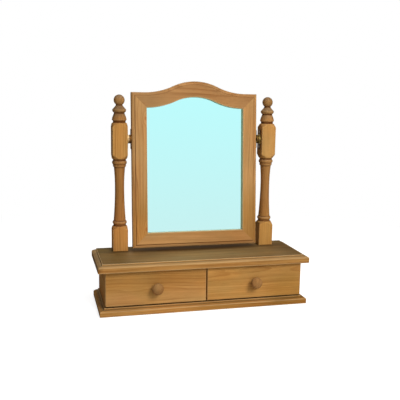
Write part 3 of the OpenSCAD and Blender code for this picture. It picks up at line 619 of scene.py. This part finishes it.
# The deepest mark of a hollow, the height where rubbing and painted highlight start, and their share on the
# flat edge itself
DEEPEST_HOLLOW, RUB_SHEEN_ABOVE, FLAT_EDGE_SHARE = -0.45, 1.5, 0.5


def moulding(thickness, width, step, radius, nose_r, points=14):
    """Outline of a moulded edge from its nose up to its step, as pairs of inset and height."""
    curve_z = thickness - step - radius
    nose_z = curve_z + math.sqrt((radius - nose_r) ** 2 - (width - nose_r) ** 2)
    meet = math.degrees(math.atan2(nose_z - curve_z, width - nose_r))
    nose = arc((width - nose_r, nose_z), nose_r, 0, meet, 7)
    curve = arc((0, curve_z), radius, meet, 90, points)
    return [(width - x, z) for x, z in nose + curve[1:]]


def slab_ring(half_w, inset, corner, z, parts=5):
    """A board's outline from above, inset on its front and ends, with rounded front corners."""
    x, y, back = half_w - inset, -BOARD_D / 2 + inset, BOARD_D / 2
    ring = [(-x, back, z)]
    ring += [(px, py, z) for px, py in arc((-x + corner, y + corner), corner, 180, 270, parts)]
    ring += [(px, py, z) for px, py in arc((x - corner, y + corner), corner, 270, 360, parts)]
    ring.append((x, back, z))
    return ring


def moulded_board(name, node, half_w, z0, thickness, rub_sheen, material):
    """Board with a thumbnail moulding on its front and both ends, its moulding made pale by wear and painted
    highlight, by the amount given.
    """
    outline = [(STRIP_BELOW, 0.0), (0.0, 0.0)]
    outline += moulding(thickness, MOULD_W, MOULD_STEP, MOULD_R, MOULD_NOSE_R)
    outline += [(MOULD_W, thickness), (MOULD_W + STRIP_ABOVE, thickness)]
    outline = dense(eased(outline, EASING))
    relief = []
    for bend, (inset, z) in zip(relief_of(outline), outline):
        found = max(bend, DEEPEST_HOLLOW)
        if z > RUB_SHEEN_ABOVE and inset < MOULD_W + 0.3:
            found += rub_sheen * (FLAT_EDGE_SHARE if inset < 0.1 else 1.0)
        relief.append(found)
    rings = []
    for inset, z in outline:
        corner = max(LEAST_CORNER_R, CORNER_R - inset * CORNER_TAPER)
        rings.append(slab_ring(half_w, inset, corner, z0 + z))
    bm = bmesh.new()
    loft(bm, rings, lambda ring, point: relief[ring])
    smooth_piece(name, bm, material, "base", node)


# Posts and knobs

# Angles from the middle of a post's side to its arris, closest together at the arris
TO_ARRIS = [0, 7, 14, 21, 28, 33, 37, 40, 42, 43.2, 44.1]
ARRIS_R = 1.6
LONGEST_FACE = 6.0
POST_EASING, KNOB_EASING = 0.45, 0.6

# Widths over which round and square forms, and the marks on them, run into each other
FORM_BLEND, MARK_BLEND = 0.7, 0.8

# How strongly the blocks' turned shoulders are marked as turned
SHOULDER_SHARE = 0.3

# Strength and width of the marks for arrises made pale by wear and painted highlight, and for dirt and
# painted shade at a post's foot
ARRIS_RUB_SHEEN, ARRIS_RUB_SHEEN_W = 1.2, 1.8
FOOT_GRIME_SHADE, FOOT_GRIME_SHADE_H = 0.8, 1.5


def bead(z, half_h, radius, neck, count=16):
    turns = [math.pi * i / count for i in range(count + 1)]
    return [(neck + (radius - neck) * math.sin(a), z - half_h * math.cos(a)) for a in turns]


def cove(z0, z1, r0, r1, depth, count=12):
    shares = [i / count for i in range(count + 1)]
    return [(r0 + (r1 - r0) * s - depth * math.sin(math.pi * s), z0 + (z1 - z0) * s) for s in shares]


def flare(z, z_end, r, r_end, count=18):
    """Shallow circular curve that leaves the radius r upright at z and reaches r_end at z_end."""
    big = ((z_end - z) ** 2 + (r_end - r) ** 2) / (2 * (r_end - r))
    rises = [(z_end - z) * i / count for i in range(count + 1)]
    return [(r + big - math.sqrt(big * big - h * h), z + h) for h in rises]


def shoulder_outline(least):
    """Radius and depth along the round shoulder of a block's end, from the radius least outwards."""
    turns = [math.radians(5 * i) for i in range(15)]
    flat_r, reach = BLOCK_W / 2 - SHOULDER_IN, SHOULDER_IN + SHOULDER_OUT
    curve = [(flat_r + reach * math.sin(a), SHOULDER_H * (1 - math.cos(a))) for a in turns]
    return [p for p in curve if p[0] > least + 0.3] + [(PAST_ARRIS, CORNER_DROP)]


def post_outline():
    """The turned outline of a whole post, wide where the square blocks stand."""
    z0, z1, z2 = LOWER_BLOCK_H, UPPER_BLOCK_Z, FINIAL_Z
    neck = BLOCK_W / 2 - NECK_CUT
    head = neck + 2 * BEAD_GAP
    bead_z = z0 + LOW_NECK_H + BEAD_HALF_H + BEAD_GAP
    foot_z = bead_z + BEAD_HALF_H + 2 * BEAD_GAP
    waist, crest = z0 + WAIST_SHARE * SHAFT_H, z1 - CREST_DROP
    step_h = CREST_DROP - 2 * COLLAR_HALF_H - COLLAR_NECK_H - BEAD_GAP
    collar_z = z1 - COLLAR_NECK_H - BEAD_GAP - COLLAR_HALF_H
    foot = flare(0, waist - foot_z, SHAFT_R, SHAFT_FOOT_R)
    points = [(PAST_ARRIS, 0.0), (PAST_ARRIS, 6.0)]
    points += [(r, z0 - h) for r, h in reversed(shoulder_outline(neck))]
    points += cove(z0, z0 + LOW_NECK_H, neck, neck, NECK_HOLLOW)
    points += bead(bead_z, BEAD_HALF_H, LOW_BEAD_R, neck)
    points.append((SHAFT_FOOT_R, foot_z - BEAD_GAP))
    points += [(r, waist - h) for r, h in reversed(foot)]
    points += flare(waist, crest, SHAFT_R, SHAFT_TOP_R)[1:]
    points.append((neck - BEAD_GAP, crest + step_h / 8))
    points += [(neck, crest + step_h * share) for share in (0.4, 0.75)]
    points += bead(collar_z, COLLAR_HALF_H, HIGH_BEAD_R, neck)
    points += cove(z1 - COLLAR_NECK_H, z1, neck, head, NECK_HOLLOW)
    points += [(r, z1 + h) for r, h in shoulder_outline(head)]
    points += [(r, z2 - h) for r, h in reversed(shoulder_outline(FINIAL_NECK_R))]
    return eased(points + finial_outline(z2), POST_EASING)


def finial_outline(z):
    """Neck, bell, waist, ring, slim neck and ball, from the height z of the finial's foot."""
    neck, waist, slim = FINIAL_NECK_R, 0.72 * BELL_R, 0.615 * BALL_R
    bell_z, bell_h = 0.102 * FINIAL_H, 0.23 * FINIAL_H
    foot_z, flank_h = 0.35 * FINIAL_H, 0.085 * FINIAL_H
    ring_z, cone_h = 0.462 * FINIAL_H, 0.15 * FINIAL_H
    points = cove(0, FINIAL_H / 15, neck, neck, NECK_HOLLOW)
    points += [(0.97 * BELL_R, FINIAL_H / 12), (BELL_R, bell_z)]
    points += [(BELL_R - (BELL_R - waist) * (i / 16) ** 1.5, bell_z + bell_h * i / 16) for i in range(1, 17)]
    points += [(waist + (RING_R - waist) * math.sin(math.radians(9 * i)), foot_z + flank_h * i / 10)
               for i in range(11)]
    points.append((RING_R, ring_z))
    points += [(slim + (RING_R - slim) * (1 - i / 12) ** 1.1, ring_z + BEAD_GAP + cone_h * i / 12)
               for i in range(13)]
    meet = math.degrees(math.asin(slim / BALL_R))
    points += arc((0, FINIAL_H - BALL_R), BALL_R, meet - 90, 88.5, 30)
    return [(r, z + h) for r, h in points]


def square_radius(turn, half, corner):
    """Distance from the axis to the side of a square with rounded arrises, in the direction turn."""
    a = math.radians(abs((math.degrees(turn) + 45) % 90 - 45))
    inner = half - corner
    if half * math.tan(a) <= inner:
        return half / math.cos(a)
    along = inner * (math.cos(a) + math.sin(a))
    return along + math.sqrt(max(along * along - 2 * inner * inner + corner * corner, 0.0))


def soft_min(a, b, soft):
    """The smaller of two values, blended where they are nearly equal."""
    gap = max(soft - abs(a - b), 0.0) / soft
    return min(a, b) - gap * gap * soft / 4


def turned_post(name, node, side, material):
    """Post with its square blocks and turned lengths in one skin."""
    quarter = TO_ARRIS + [45] + [90 - a for a in reversed(TO_ARRIS[1:])]
    turns = [math.radians(90 * q + a) for q in range(4) for a in quarter]
    sides = [square_radius(turn, BLOCK_W / 2, ARRIS_R) for turn in turns]
    outline = split_long(dense(post_outline()), LONGEST_FACE)
    hollows = relief_of([(-r, z) for r, z in outline], reach=2.4)

    def round_share(ring, point):
        """1 where the skin follows the turned outline, and 0 on the sides of the square blocks."""
        return min(max((sides[point] - outline[ring][0]) / MARK_BLEND + 0.5, 0.0), 1.0)

    def turned(ring, point):
        z = outline[ring][1]
        on_block = z <= LOWER_BLOCK_H or UPPER_BLOCK_Z <= z <= FINIAL_Z
        return (SHOULDER_SHARE if on_block else 1.0) * round_share(ring, point)

    def relief(ring, point):
        from_middle = math.pi / 4 - abs(math.pi / 4 - turns[point] % (math.pi / 2))
        to_arris = BLOCK_W / 2 * (1 - math.tan(from_middle))
        rub_sheen = ARRIS_RUB_SHEEN * math.exp(-(to_arris / ARRIS_RUB_SHEEN_W) ** 2)
        grime_shade = FOOT_GRIME_SHADE * math.exp(-(outline[ring][1] / FOOT_GRIME_SHADE_H) ** 2)
        share = round_share(ring, point)
        return hollows[ring] * share + (rub_sheen - grime_shade) * (1 - share)

    rings = []
    for r, z in outline:
        reaches = [soft_min(r, side_r, FORM_BLEND) for side_r in sides]
        rings.append([(side * POST_X + reach * math.cos(turn), POST_Y + reach * math.sin(turn), POST_Z + z)
                      for reach, turn in zip(reaches, turns)])
    bm = bmesh.new()
    loft(bm, rings, relief, turned)
    smooth_piece(name, bm, material, "base", node)


def turned_knob(name, node, side, body, material):
    """Mushroom knob with its foot on the drawer front."""
    foot_r, neck_r, head_r = KNOB_FOOT_D / 2, KNOB_NECK_D / 2, KNOB_D / 2
    collar_r, under_r = foot_r - 0.4, head_r - 1.2
    foot_z, neck_z, dome_h = 2.2, KNOB_H / 3, 10
    rim_z = KNOB_H - dome_h
    under_h = rim_z - 1.6 - neck_z
    points = [(foot_r - 0.5, 0.0), (foot_r, 0.8), (collar_r, foot_z)]
    points += [(neck_r + (collar_r - neck_r) * (1 - i / 10) ** 2, foot_z + (neck_z - foot_z) * i / 10)
               for i in range(1, 11)]
    quarter = [math.radians(9 * i) for i in range(1, 11)]
    points += [(neck_r + (under_r - neck_r) * (1 - math.cos(a)), neck_z + under_h * math.sin(a))
               for a in quarter]
    dome = [math.radians(4.5 * i) for i in range(20)]
    points += [(head_r * math.cos(a), rim_z + dome_h * math.sin(a)) for a in dome]
    points = eased(points, KNOB_EASING)
    hollows = relief_of([(-r, z) for r, z in points])
    turns = [2 * math.pi * k / 72 for k in range(72)]
    rings = [[(side * FRONT_X + r * math.cos(t), FRONT_Y - z, KNOB_Z + r * math.sin(t)) for t in turns]
             for r, z in points]
    bm = bmesh.new()
    loft(bm, rings, lambda ring, point: hollows[ring])
    smooth_piece(name, bm, material, body, node)


# Mirror frame, drawn flat: X to the right, Y up from the pivot, Z forward from the frame's back

# Hangs that drawing at the pivot, leaning back
HANG = (Matrix.Translation((0, POST_Y, PIVOT_Z)) @ Matrix.Rotation(math.radians(90 - LEAN), 4, "X")
        @ Matrix.Translation((0, 0, -FRAME_T / 2)))

# Width and depth of the joint line at a mitre, and the number of steps along the arch
JOINT_W, JOINT_DEPTH = 0.25, 0.18
ARCH_FACES = 96

# How wide the dirt and painted shade lie along the moulding's step, and the mark for painted light on the lip
# round the glass, past what any corner reaches
STEP_GRIME_SHADE_W, LIT_LIP_MARK = 2.6, 3.0


def member_section():
    """Section of a frame member as pairs of distance from its outer edge and height from its back."""
    outline = [(0.0, 0.0)] + moulding(FRAME_T, EDGE_W, EDGE_STEP, EDGE_R, EDGE_NOSE_R, 10)
    outline += [(EDGE_W, FRAME_T), (MEMBER_W, FRAME_T), (MEMBER_W, GLASS_FACE),
                (MEMBER_W - REBATE_W, GLASS_FACE), (MEMBER_W - REBATE_W, 0.0)]
    return dense(eased(outline, EASING, closed=True), closed=True)


def shrunk(section):
    """The section drawn in by a hair, for the joint line at its mitres."""
    made = []
    count = len(section)
    for i in range(count):
        before, after = Vector(section[i - 1]), Vector(section[(i + 1) % count])
        along = (after - before).normalized()
        normal = Vector((-along.y, along.x))
        made.append(tuple(Vector(section[i]) - normal * JOINT_DEPTH))
    return made


def frame_member(name, node, rings, section, place, grime_shade, material):
    """Skin of a frame member, darkened by dirt and painted shade along the step of its moulding, with painted
    light on the lip round the glass.
    """
    relief = relief_of(section, closed=True, reach=2.2)
    for i, (d, z) in enumerate(section):
        if d > MEMBER_W - 0.2 and GLASS_FACE < z < FRAME_T - 0.8:
            relief[i] = LIT_LIP_MARK
        elif z > 0.5 * FRAME_T:
            relief[i] -= grime_shade * math.exp(-((d - EDGE_W) / STEP_GRIME_SHADE_W) ** 2)
    bm = bmesh.new()
    loft(bm, rings, lambda ring, point: relief[point])
    bmesh.ops.transform(bm, matrix=place, verts=bm.verts)
    smooth_piece(name, bm, material, "mirror", node)


def straight_member(name, node, length, place, grime_shade, material):
    """Stile or rail with mitred ends, its outer edge along X and its width along Y."""
    section = member_section()
    tight = shrunk(section)
    rings = [[(d, d, z) for d, z in tight], [(d + JOINT_W, d, z) for d, z in section],
             [(length - JOINT_W - d, d, z) for d, z in section], [(length - d, d, z) for d, z in tight]]
    frame_member(name, node, rings, section, HANG @ place, grime_shade, material)


def arch_y(x, shoulder, rise, crown_r, spread_x, offset):
    """Height of an arch at x, with its curve moved outwards by offset."""
    reach = (spread_x ** 2 + rise ** 2) / (2 * rise)
    flank_r = reach - crown_r
    flank_y, crown_y = shoulder + flank_r, shoulder + rise - crown_r
    x = abs(x)
    if x >= spread_x:
        return shoulder + offset
    if x <= spread_x * (crown_r + offset) / reach:
        return crown_y + math.sqrt((crown_r + offset) ** 2 - x * x)
    return flank_y - math.sqrt((flank_r - offset) ** 2 - (spread_x - x) ** 2)


def top_rail(name, node, grime_shade, material):
    """Arched top rail, moulded along its outer edge and mitred at both ends."""
    section = member_section()
    tight = shrunk(section)

    def ring(share, outline, draw_in):
        points = []
        for d, z in outline:
            if d < MEMBER_W / 2:
                x = share * (FRAME_W / 2 - d - draw_in)
                y = arch_y(x, FRAME_UP, OUTER_RISE, OUTER_CROWN_R, OUTER_SPREAD, -d)
            else:
                grow = MEMBER_W - d
                x = share * (OPENING_HALF + grow - draw_in)
                y = arch_y(x, OPENING_SHOULDER, INNER_RISE, INNER_CROWN_R, OPENING_HALF, grow)
            points.append((x, y, z))
        return points

    rings = [ring(-1, tight, 0.0)]
    rings += [ring(-1 + 2 * i / ARCH_FACES, section, JOINT_W) for i in range(ARCH_FACES + 1)]
    rings.append(ring(1, tight, 0.0))
    frame_member(name, node, rings, section, HANG, grime_shade, material)


# Modelled pieces in waxed pine

# Top board shades: a painted pool of light along the middle of the front, a painted shadow under the mirror
# frame, painted shade on both ends and at the back left corner, and painted light on the left step
moulded_board("top_board_waxed", "top_board", BOARD_W / 2, TOP_Z, TOP_T, 0.85, pine(
    "Pine top board", "x", (0, 0.035, 0.05), DARK_HONEY, ring=0.0046, contrast=0.5, shades=[
        ((-0.02, -0.06, 0.146), (0.28, 0.085, 0.009), dim(1.5)),
        ((0.0, 0.05, 0.142), (0.34, 0.043, 0.02), (0.3, 0.25, 0.18)),
        ((-0.3, 0.0, 0.143), (0.12, 0.2, 0.004), (0.76, 0.73, 0.56)),
        ((-0.3, 0.115, 0.143), (0.28, 0.12, 0.004), (0.55, 0.58, 0.48)),
        ((-0.287, 0.0, 0.1405), (0.0016, 0.3, 0.0025), dim(2.1)),
        ((0.31, 0.04, 0.142), (0.12, 0.2, 0.02), dim(0.6)),
        ((-0.302, 0.0, 0.136), (0.023, 0.2, 0.03), dim(0.32))]))
# Base board shades: paler on the left of the front and darker to the right, warmer along the top of the
# front, and painted shade on the left end
moulded_board("base_board_waxed", "base_board", BOARD_W / 2 - BASE_INSET, 0.0, BASE_T, 0.35, pine(
    "Pine base board", "x", (0.1, -0.02, -0.06), DARK_HONEY, ring=0.004, shades=[
        ((-0.16, -0.1, 0.01), (0.16, 0.05, 0.03), dim(1.12)),
        ((0.06, -0.1, 0.01), (0.12, 0.05, 0.03), (0.9, 0.88, 0.78)),
        ((0.26, -0.1, 0.01), (0.14, 0.05, 0.03), (0.82, 0.77, 0.6)),
        ((-0.1, -0.095, 0.0215), (0.3, 0.03, 0.008), (1.0, 0.9, 0.74)),
        ((-0.297, 0.03, 0.01), (0.02, 0.13, 0.03), (0.82, 0.76, 0.55))]))

# Left post shades: paler low down, a painted grey sheen on the finial and a painted highlight on its ball
turned_post("post_left_waxed", "post_left", -1, pine(
    "Pine left post", "z", (-0.256, 0.0905, 0.2), HONEY, ring=0.0036, shades=[
        ((-0.221, 0.0705, 0.21), (0.1, 0.1, 0.11), (1.16, 1.04, 1.0)),
        ((-0.221, 0.0705, 0.565), (0.065, 0.065, 0.065), (0.84, 0.93, 1.1)),
        ((-0.221, 0.06, 0.573), (0.03, 0.05, 0.022), dim(1.35))]))
# Right post shades: painted shade on the inner face, a painted grey sheen on the finial, and darker and
# warmer low down
turned_post("post_right_waxed", "post_right", 1, pine(
    "Pine right post", "z", (0.251, 0.0425, 0.3), PALE_POST, ring=0.0036, shades=[
        ((0.192, 0.085, 0.3), (0.014, 0.06, 0.5), dim(0.4)),
        ((0.221, 0.0705, 0.565), (0.065, 0.065, 0.065), (0.84, 0.96, 1.1)),
        ((0.221, 0.0705, 0.18), (0.1, 0.1, 0.12), (0.95, 0.88, 0.74))]))

turned_knob("knob_left_waxed", "drawer_left_knob", -1, "drawer_left",
            pine("Pine left knob", "y", (-0.11, -0.1, 0.1), END_GRAIN, ring=0.0024))
turned_knob("knob_right_waxed", "drawer_right_knob", 1, "drawer_right",
            pine("Pine right knob", "y", (0.16, -0.1, 0.05), END_GRAIN, ring=0.0026))

upright = Matrix.Translation((FRAME_W / 2, -FRAME_DOWN, 0)) @ Matrix.Rotation(math.pi / 2, 4, "Z")
mirrored = Matrix.Scale(-1, 4, (1, 0, 0)) @ upright
lowest = Matrix.Translation((-FRAME_W / 2, -FRAME_DOWN, 0))
straight_member("stile_right_waxed", "frame_stile_right", FRAME_DOWN + FRAME_UP, upright, 0.35, pine(
    "Pine right stile", "stile", (0.21, 0.02, 0.463), FRAME_TONE, ring=0.0034,
    shades=[((0.17, 0.07, 0.2), (0.1, 0.1, 0.17), (0.79, 0.76, 0.59))]))
straight_member("stile_left_waxed", "frame_stile_left", FRAME_DOWN + FRAME_UP, mirrored, 0.45, pine(
    "Pine left stile", "stile", (-0.19, 0.13, 0.463), FRAME_TONE, ring=0.0038,
    shades=[((-0.17, 0.07, 0.2), (0.1, 0.1, 0.17), (0.95, 0.85, 0.64))],
    knots=[((-0.147, 0.07, 0.205), 0.004), ((-0.147, 0.07, 0.522), 0.0035)]))
straight_member("rail_bottom_waxed", "frame_rail_bottom", FRAME_W, lowest, 0.85, pine(
    "Pine bottom rail", "x", (0.05, 0.0, 0.10), FRAME_TONE, ring=0.0036,
    shades=[((0.11, 0.07, 0.17), (0.13, 0.1, 0.1), (0.88, 0.83, 0.76))]))
top_rail("rail_top_waxed", "frame_rail_top", 0.15, pine(
    "Pine top rail", "x", (-0.06, 0.17, 0.56), TOP_RAIL_TONE,
    shades=[((-0.16, 0.07, 0.59), (0.1, 0.1, 0.1), dim(0.84))]))

# Pieces that keep their CAD shape

# Waxed pine: its tones, its pith from the piece's middle, and its shades, with painted shade on the upper
# left of the left drawer front and on the left side panel
WAXED = {
    "drawer_left_front": (HONEY, (0.0, 0.05, -0.02), [
        ((-0.21, -0.088, 0.115), (0.26, 0.1, 0.06), dim(0.78)),
        ((-0.05, -0.088, 0.03), (0.15, 0.1, 0.07), (1.17, 1.22, 1.42)),
        ((-0.24, -0.088, 0.03), (0.09, 0.1, 0.05), (1.04, 1.08, 1.3))]),
    "drawer_right_front": (HONEY, (0.0, 0.055, 0.035), [
        ((0.05, -0.088, 0.105), (0.1, 0.1, 0.06), (1.05, 1.03, 0.98)),
        ((0.25, -0.088, 0.04), (0.11, 0.1, 0.075), (0.82, 0.77, 0.64))]),
    "side_panel_left": (DARK_HONEY, (0.03, 0.0, 0.02), [
        ((-0.28, 0.0, 0.07), (0.1, 0.4, 0.4), (0.98, 0.9, 0.7))]),
    "side_panel_right": (DARK_HONEY, (-0.03, 0.0, -0.02), []),
    "centre_divider": (BARE, (0.03, 0.0, 0.02), []),
    "back_panel": (HONEY, (0.0, 0.06, 0.01), []),
}

# Brass plates, bright round the pivot and elsewhere a brown like the wood in shade, which is painted shade;
# the plates' differing bright colours, pale on the posts' plates and dark on the frame's, are painted light
# and shade
PIVOT = (0.0, POST_Y * MM, PIVOT_Z * MM)
SHADED_PLATE_BROWN = linear(78, 53, 29)
PLATES = {
    "frame_plate_left": linear(98, 66, 28),
    "post_plate_left": linear(194, 164, 120),
    "frame_plate_right": linear(92, 72, 24),
    "post_plate_right": linear(166, 142, 72),
}

# Material of every other piece, by its slot
PLAIN = {
    "brass": metal("Dulled brass", linear(150, 130, 84), linear(58, 45, 26), 0.3, 0.55, 90.0),
    "steel": metal("Zinc plated steel", linear(176, 178, 176), linear(120, 120, 116), 0.26, 0.5, 120.0),
    "hardboard": matte("Hardboard", linear(138, 104, 70), linear(92, 66, 42), 900.0, 0.72, 0.00012),
    "fibre": matte("Red fibre", linear(122, 72, 50), linear(90, 50, 34), 1200.0, 0.6, 0.00005),
    "mirror_glass": silvered("Silvered glass"),
}

# Pith of bare pine from its piece's middle, by the direction of its grain
BARE_PITH = {"x": (0.012, 0.02, -0.045), "y": (0.04, 0.0, -0.02), "z": (0.04, 0.0, -0.02)}


def longest_axis(node):
    low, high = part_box(node)
    size = high - low
    return "xyz"[max(range(3), key=lambda i: size[i])]


def sawn_pine(prefix, node, offset, tones, **settings):
    """Pine along a square-edged piece, with its pith at an offset from the piece's middle."""
    low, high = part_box(node)
    pith = (low + high) / 2 + Vector(offset)
    name = prefix + node.replace("_", " ")
    return pine(name, longest_axis(node), pith, tones, box=(low, high), **settings)


def flat_material(node, slot):
    """Material of a piece that keeps its CAD shape, or None for one that a modelled piece stands for."""
    if node in WAXED:
        tones, offset, shades = WAXED[node]
        return sawn_pine("Pine ", node, offset, tones, contrast=0.42, shades=shades)
    if node in PLATES:
        return metal("Brass " + node.replace("_", " "), PLATES[node], SHADED_PLATE_BROWN, 0.5, 0.7, 90.0, PIVOT)
    if slot == "plain_pine":
        return sawn_pine("Bare pine ", node, BARE_PITH[longest_axis(node)], BARE, waxed=False)
    return PLAIN.get(slot)


slots = {part["node"]: part["material_slot"] for part in frame["record"]["subparts"]}
for node_name, node_obj in nodes.items():
    found_material = flat_material(node_name, slots[node_name])
    if found_material:
        assign(node_obj, found_material)


# Floor, light and camera

# Half the floor's side, how far it lies below the object, and how far off its shadow fades out, in metres
FLOOR_HALF, FLOOR_DROP = 12.0, 0.0004
SHADOW_NEAR, SHADOW_FAR = 0.6, 1.5

# The point that the lamps are aimed at
AIM = Vector((0.0, 0.0, 0.3))

# Lamps: azimuth from the front towards the right, elevation, distance, size and power
LAMPS = {
    "key": (24, 36, 5.0, 2.0, 200),
    "front fill": (0, 10, 5.0, 2.4, 55),
    "back": (176, 30, 4.0, 2.0, 60),
    "top": (30, 84, 3.0, 1.4, 15),
}

# The world's light on the object, where 1 is white
WORLD_LIGHT = 0.11

# The camera fitted to the photograph: place in metres, turns in degrees, focal length and width in pixels
CAMERA_PLACE = Vector((-0.43912, -1.67978, 0.57629))
CAMERA_YAW, CAMERA_PITCH, CAMERA_ROLL = 14.63207, -9.23176, 0.93524
FOCAL_LENGTH, PHOTO_W = 616.3526, 400.0
SENSOR_W = 36.0


def seen_rays(tree):
    """1 for what the camera, gloss and glass see, and 0 for the light that falls on the object."""
    path = add(tree, "ShaderNodeLightPath")
    seen = maths(tree, "MAXIMUM", path.outputs["Is Camera Ray"], path.outputs["Is Glossy Ray"])
    return maths(tree, "MAXIMUM", seen, path.outputs["Is Transmission Ray"])


def plain_world():
    world = bpy.data.worlds.new("Studio")
    bpy.context.scene.world = world
    tree = empty_tree(world)
    strength = spread(tree, seen_rays(tree), 0.0, 1.0, WORLD_LIGHT, 1.0)
    background = add(tree, "ShaderNodeBackground", {"Color": (1, 1, 1, 1), "Strength": strength})
    add(tree, "ShaderNodeOutputWorld", {"Surface": background.outputs["Background"]})


def pale_floor():
    """A floor that keeps the shadow near the object and is as white as the background further off."""
    bm = bmesh.new()
    bmesh.ops.create_grid(bm, x_segments=8, y_segments=8, size=FLOOR_HALF)
    floor = new_object("floor", new_mesh("floor", bm))
    floor.location.z = -FLOOR_DROP
    material = bpy.data.materials.new("Pale floor")
    tree = empty_tree(material)
    seen = seen_rays(tree)
    distance = vector_maths(tree, "LENGTH", coordinate(tree))
    far = spread(tree, distance, SHADOW_NEAR, SHADOW_FAR, 0.0, 1.0, smooth=True)
    paint = add(tree, "ShaderNodeBsdfDiffuse", {"Color": (0.5, 0.5, 0.5, 1)})
    glow = add(tree, "ShaderNodeEmission", {"Color": (1, 1, 1, 1), "Strength": times(tree, seen, 0.8)})
    near = add(tree, "ShaderNodeAddShader", {0: paint.outputs["BSDF"], 1: glow.outputs["Emission"]})
    white = add(tree, "ShaderNodeEmission", {"Color": (1, 1, 1, 1), "Strength": 1.0})
    both = add(tree, "ShaderNodeMixShader",
               {0: times(tree, far, seen), 1: near.outputs["Shader"], 2: white.outputs["Emission"]})
    add(tree, "ShaderNodeOutputMaterial", {"Surface": both.outputs["Shader"]})
    assign(floor, material)


def lit_pieces():
    """Everything but the mirror, which would throw bright patches on the wood and the floor."""
    lit = bpy.data.collections.new("lit")
    for obj in bpy.context.scene.objects:
        if obj != nodes["mirror_glass"]:
            lit.objects.link(obj)
    return lit


def lamp(name, azimuth, elevation, distance, size, power, lit):
    """Square lamp aimed at the object, for the pieces in the collection lit."""
    turn, rise = math.radians(azimuth), math.radians(elevation)
    away = Vector((math.sin(turn) * math.cos(rise), -math.cos(turn) * math.cos(rise), math.sin(rise)))
    data = bpy.data.lights.new(name, "AREA")
    data.shape = "SQUARE"
    data.size = size
    data.energy = power
    obj = new_object(name, data)
    obj.location = AIM + distance * away
    obj.rotation_euler = away.to_track_quat("Z", "Y").to_euler()
    obj.visible_camera = False
    obj.light_linking.receiver_collection = lit


def camera():
    """The fitted camera, turned by its heading, then its pitch, then its roll."""
    yaw, pitch, roll = (math.radians(a) for a in (CAMERA_YAW, CAMERA_PITCH, CAMERA_ROLL))
    forward = Vector((math.sin(yaw) * math.cos(pitch), math.cos(yaw) * math.cos(pitch), math.sin(pitch)))
    level = Vector((math.cos(yaw), -math.sin(yaw), 0.0))
    upward = level.cross(forward)
    right = level * math.cos(roll) + upward * math.sin(roll)
    up = upward * math.cos(roll) - level * math.sin(roll)
    data = bpy.data.cameras.new("camera")
    data.sensor_width = SENSOR_W
    data.lens = FOCAL_LENGTH * SENSOR_W / PHOTO_W
    obj = new_object("camera", data)
    rows = zip(right, up, -forward, CAMERA_PLACE)
    obj.matrix_world = Matrix((*rows, (0, 0, 0, 1)))
    bpy.context.scene.camera = obj


plain_world()
pale_floor()
lit_collection = lit_pieces()
for lamp_name, lamp_settings in LAMPS.items():
    lamp(lamp_name, *lamp_settings, lit_collection)
camera()
bpy.context.scene.view_settings.view_transform = "Standard"
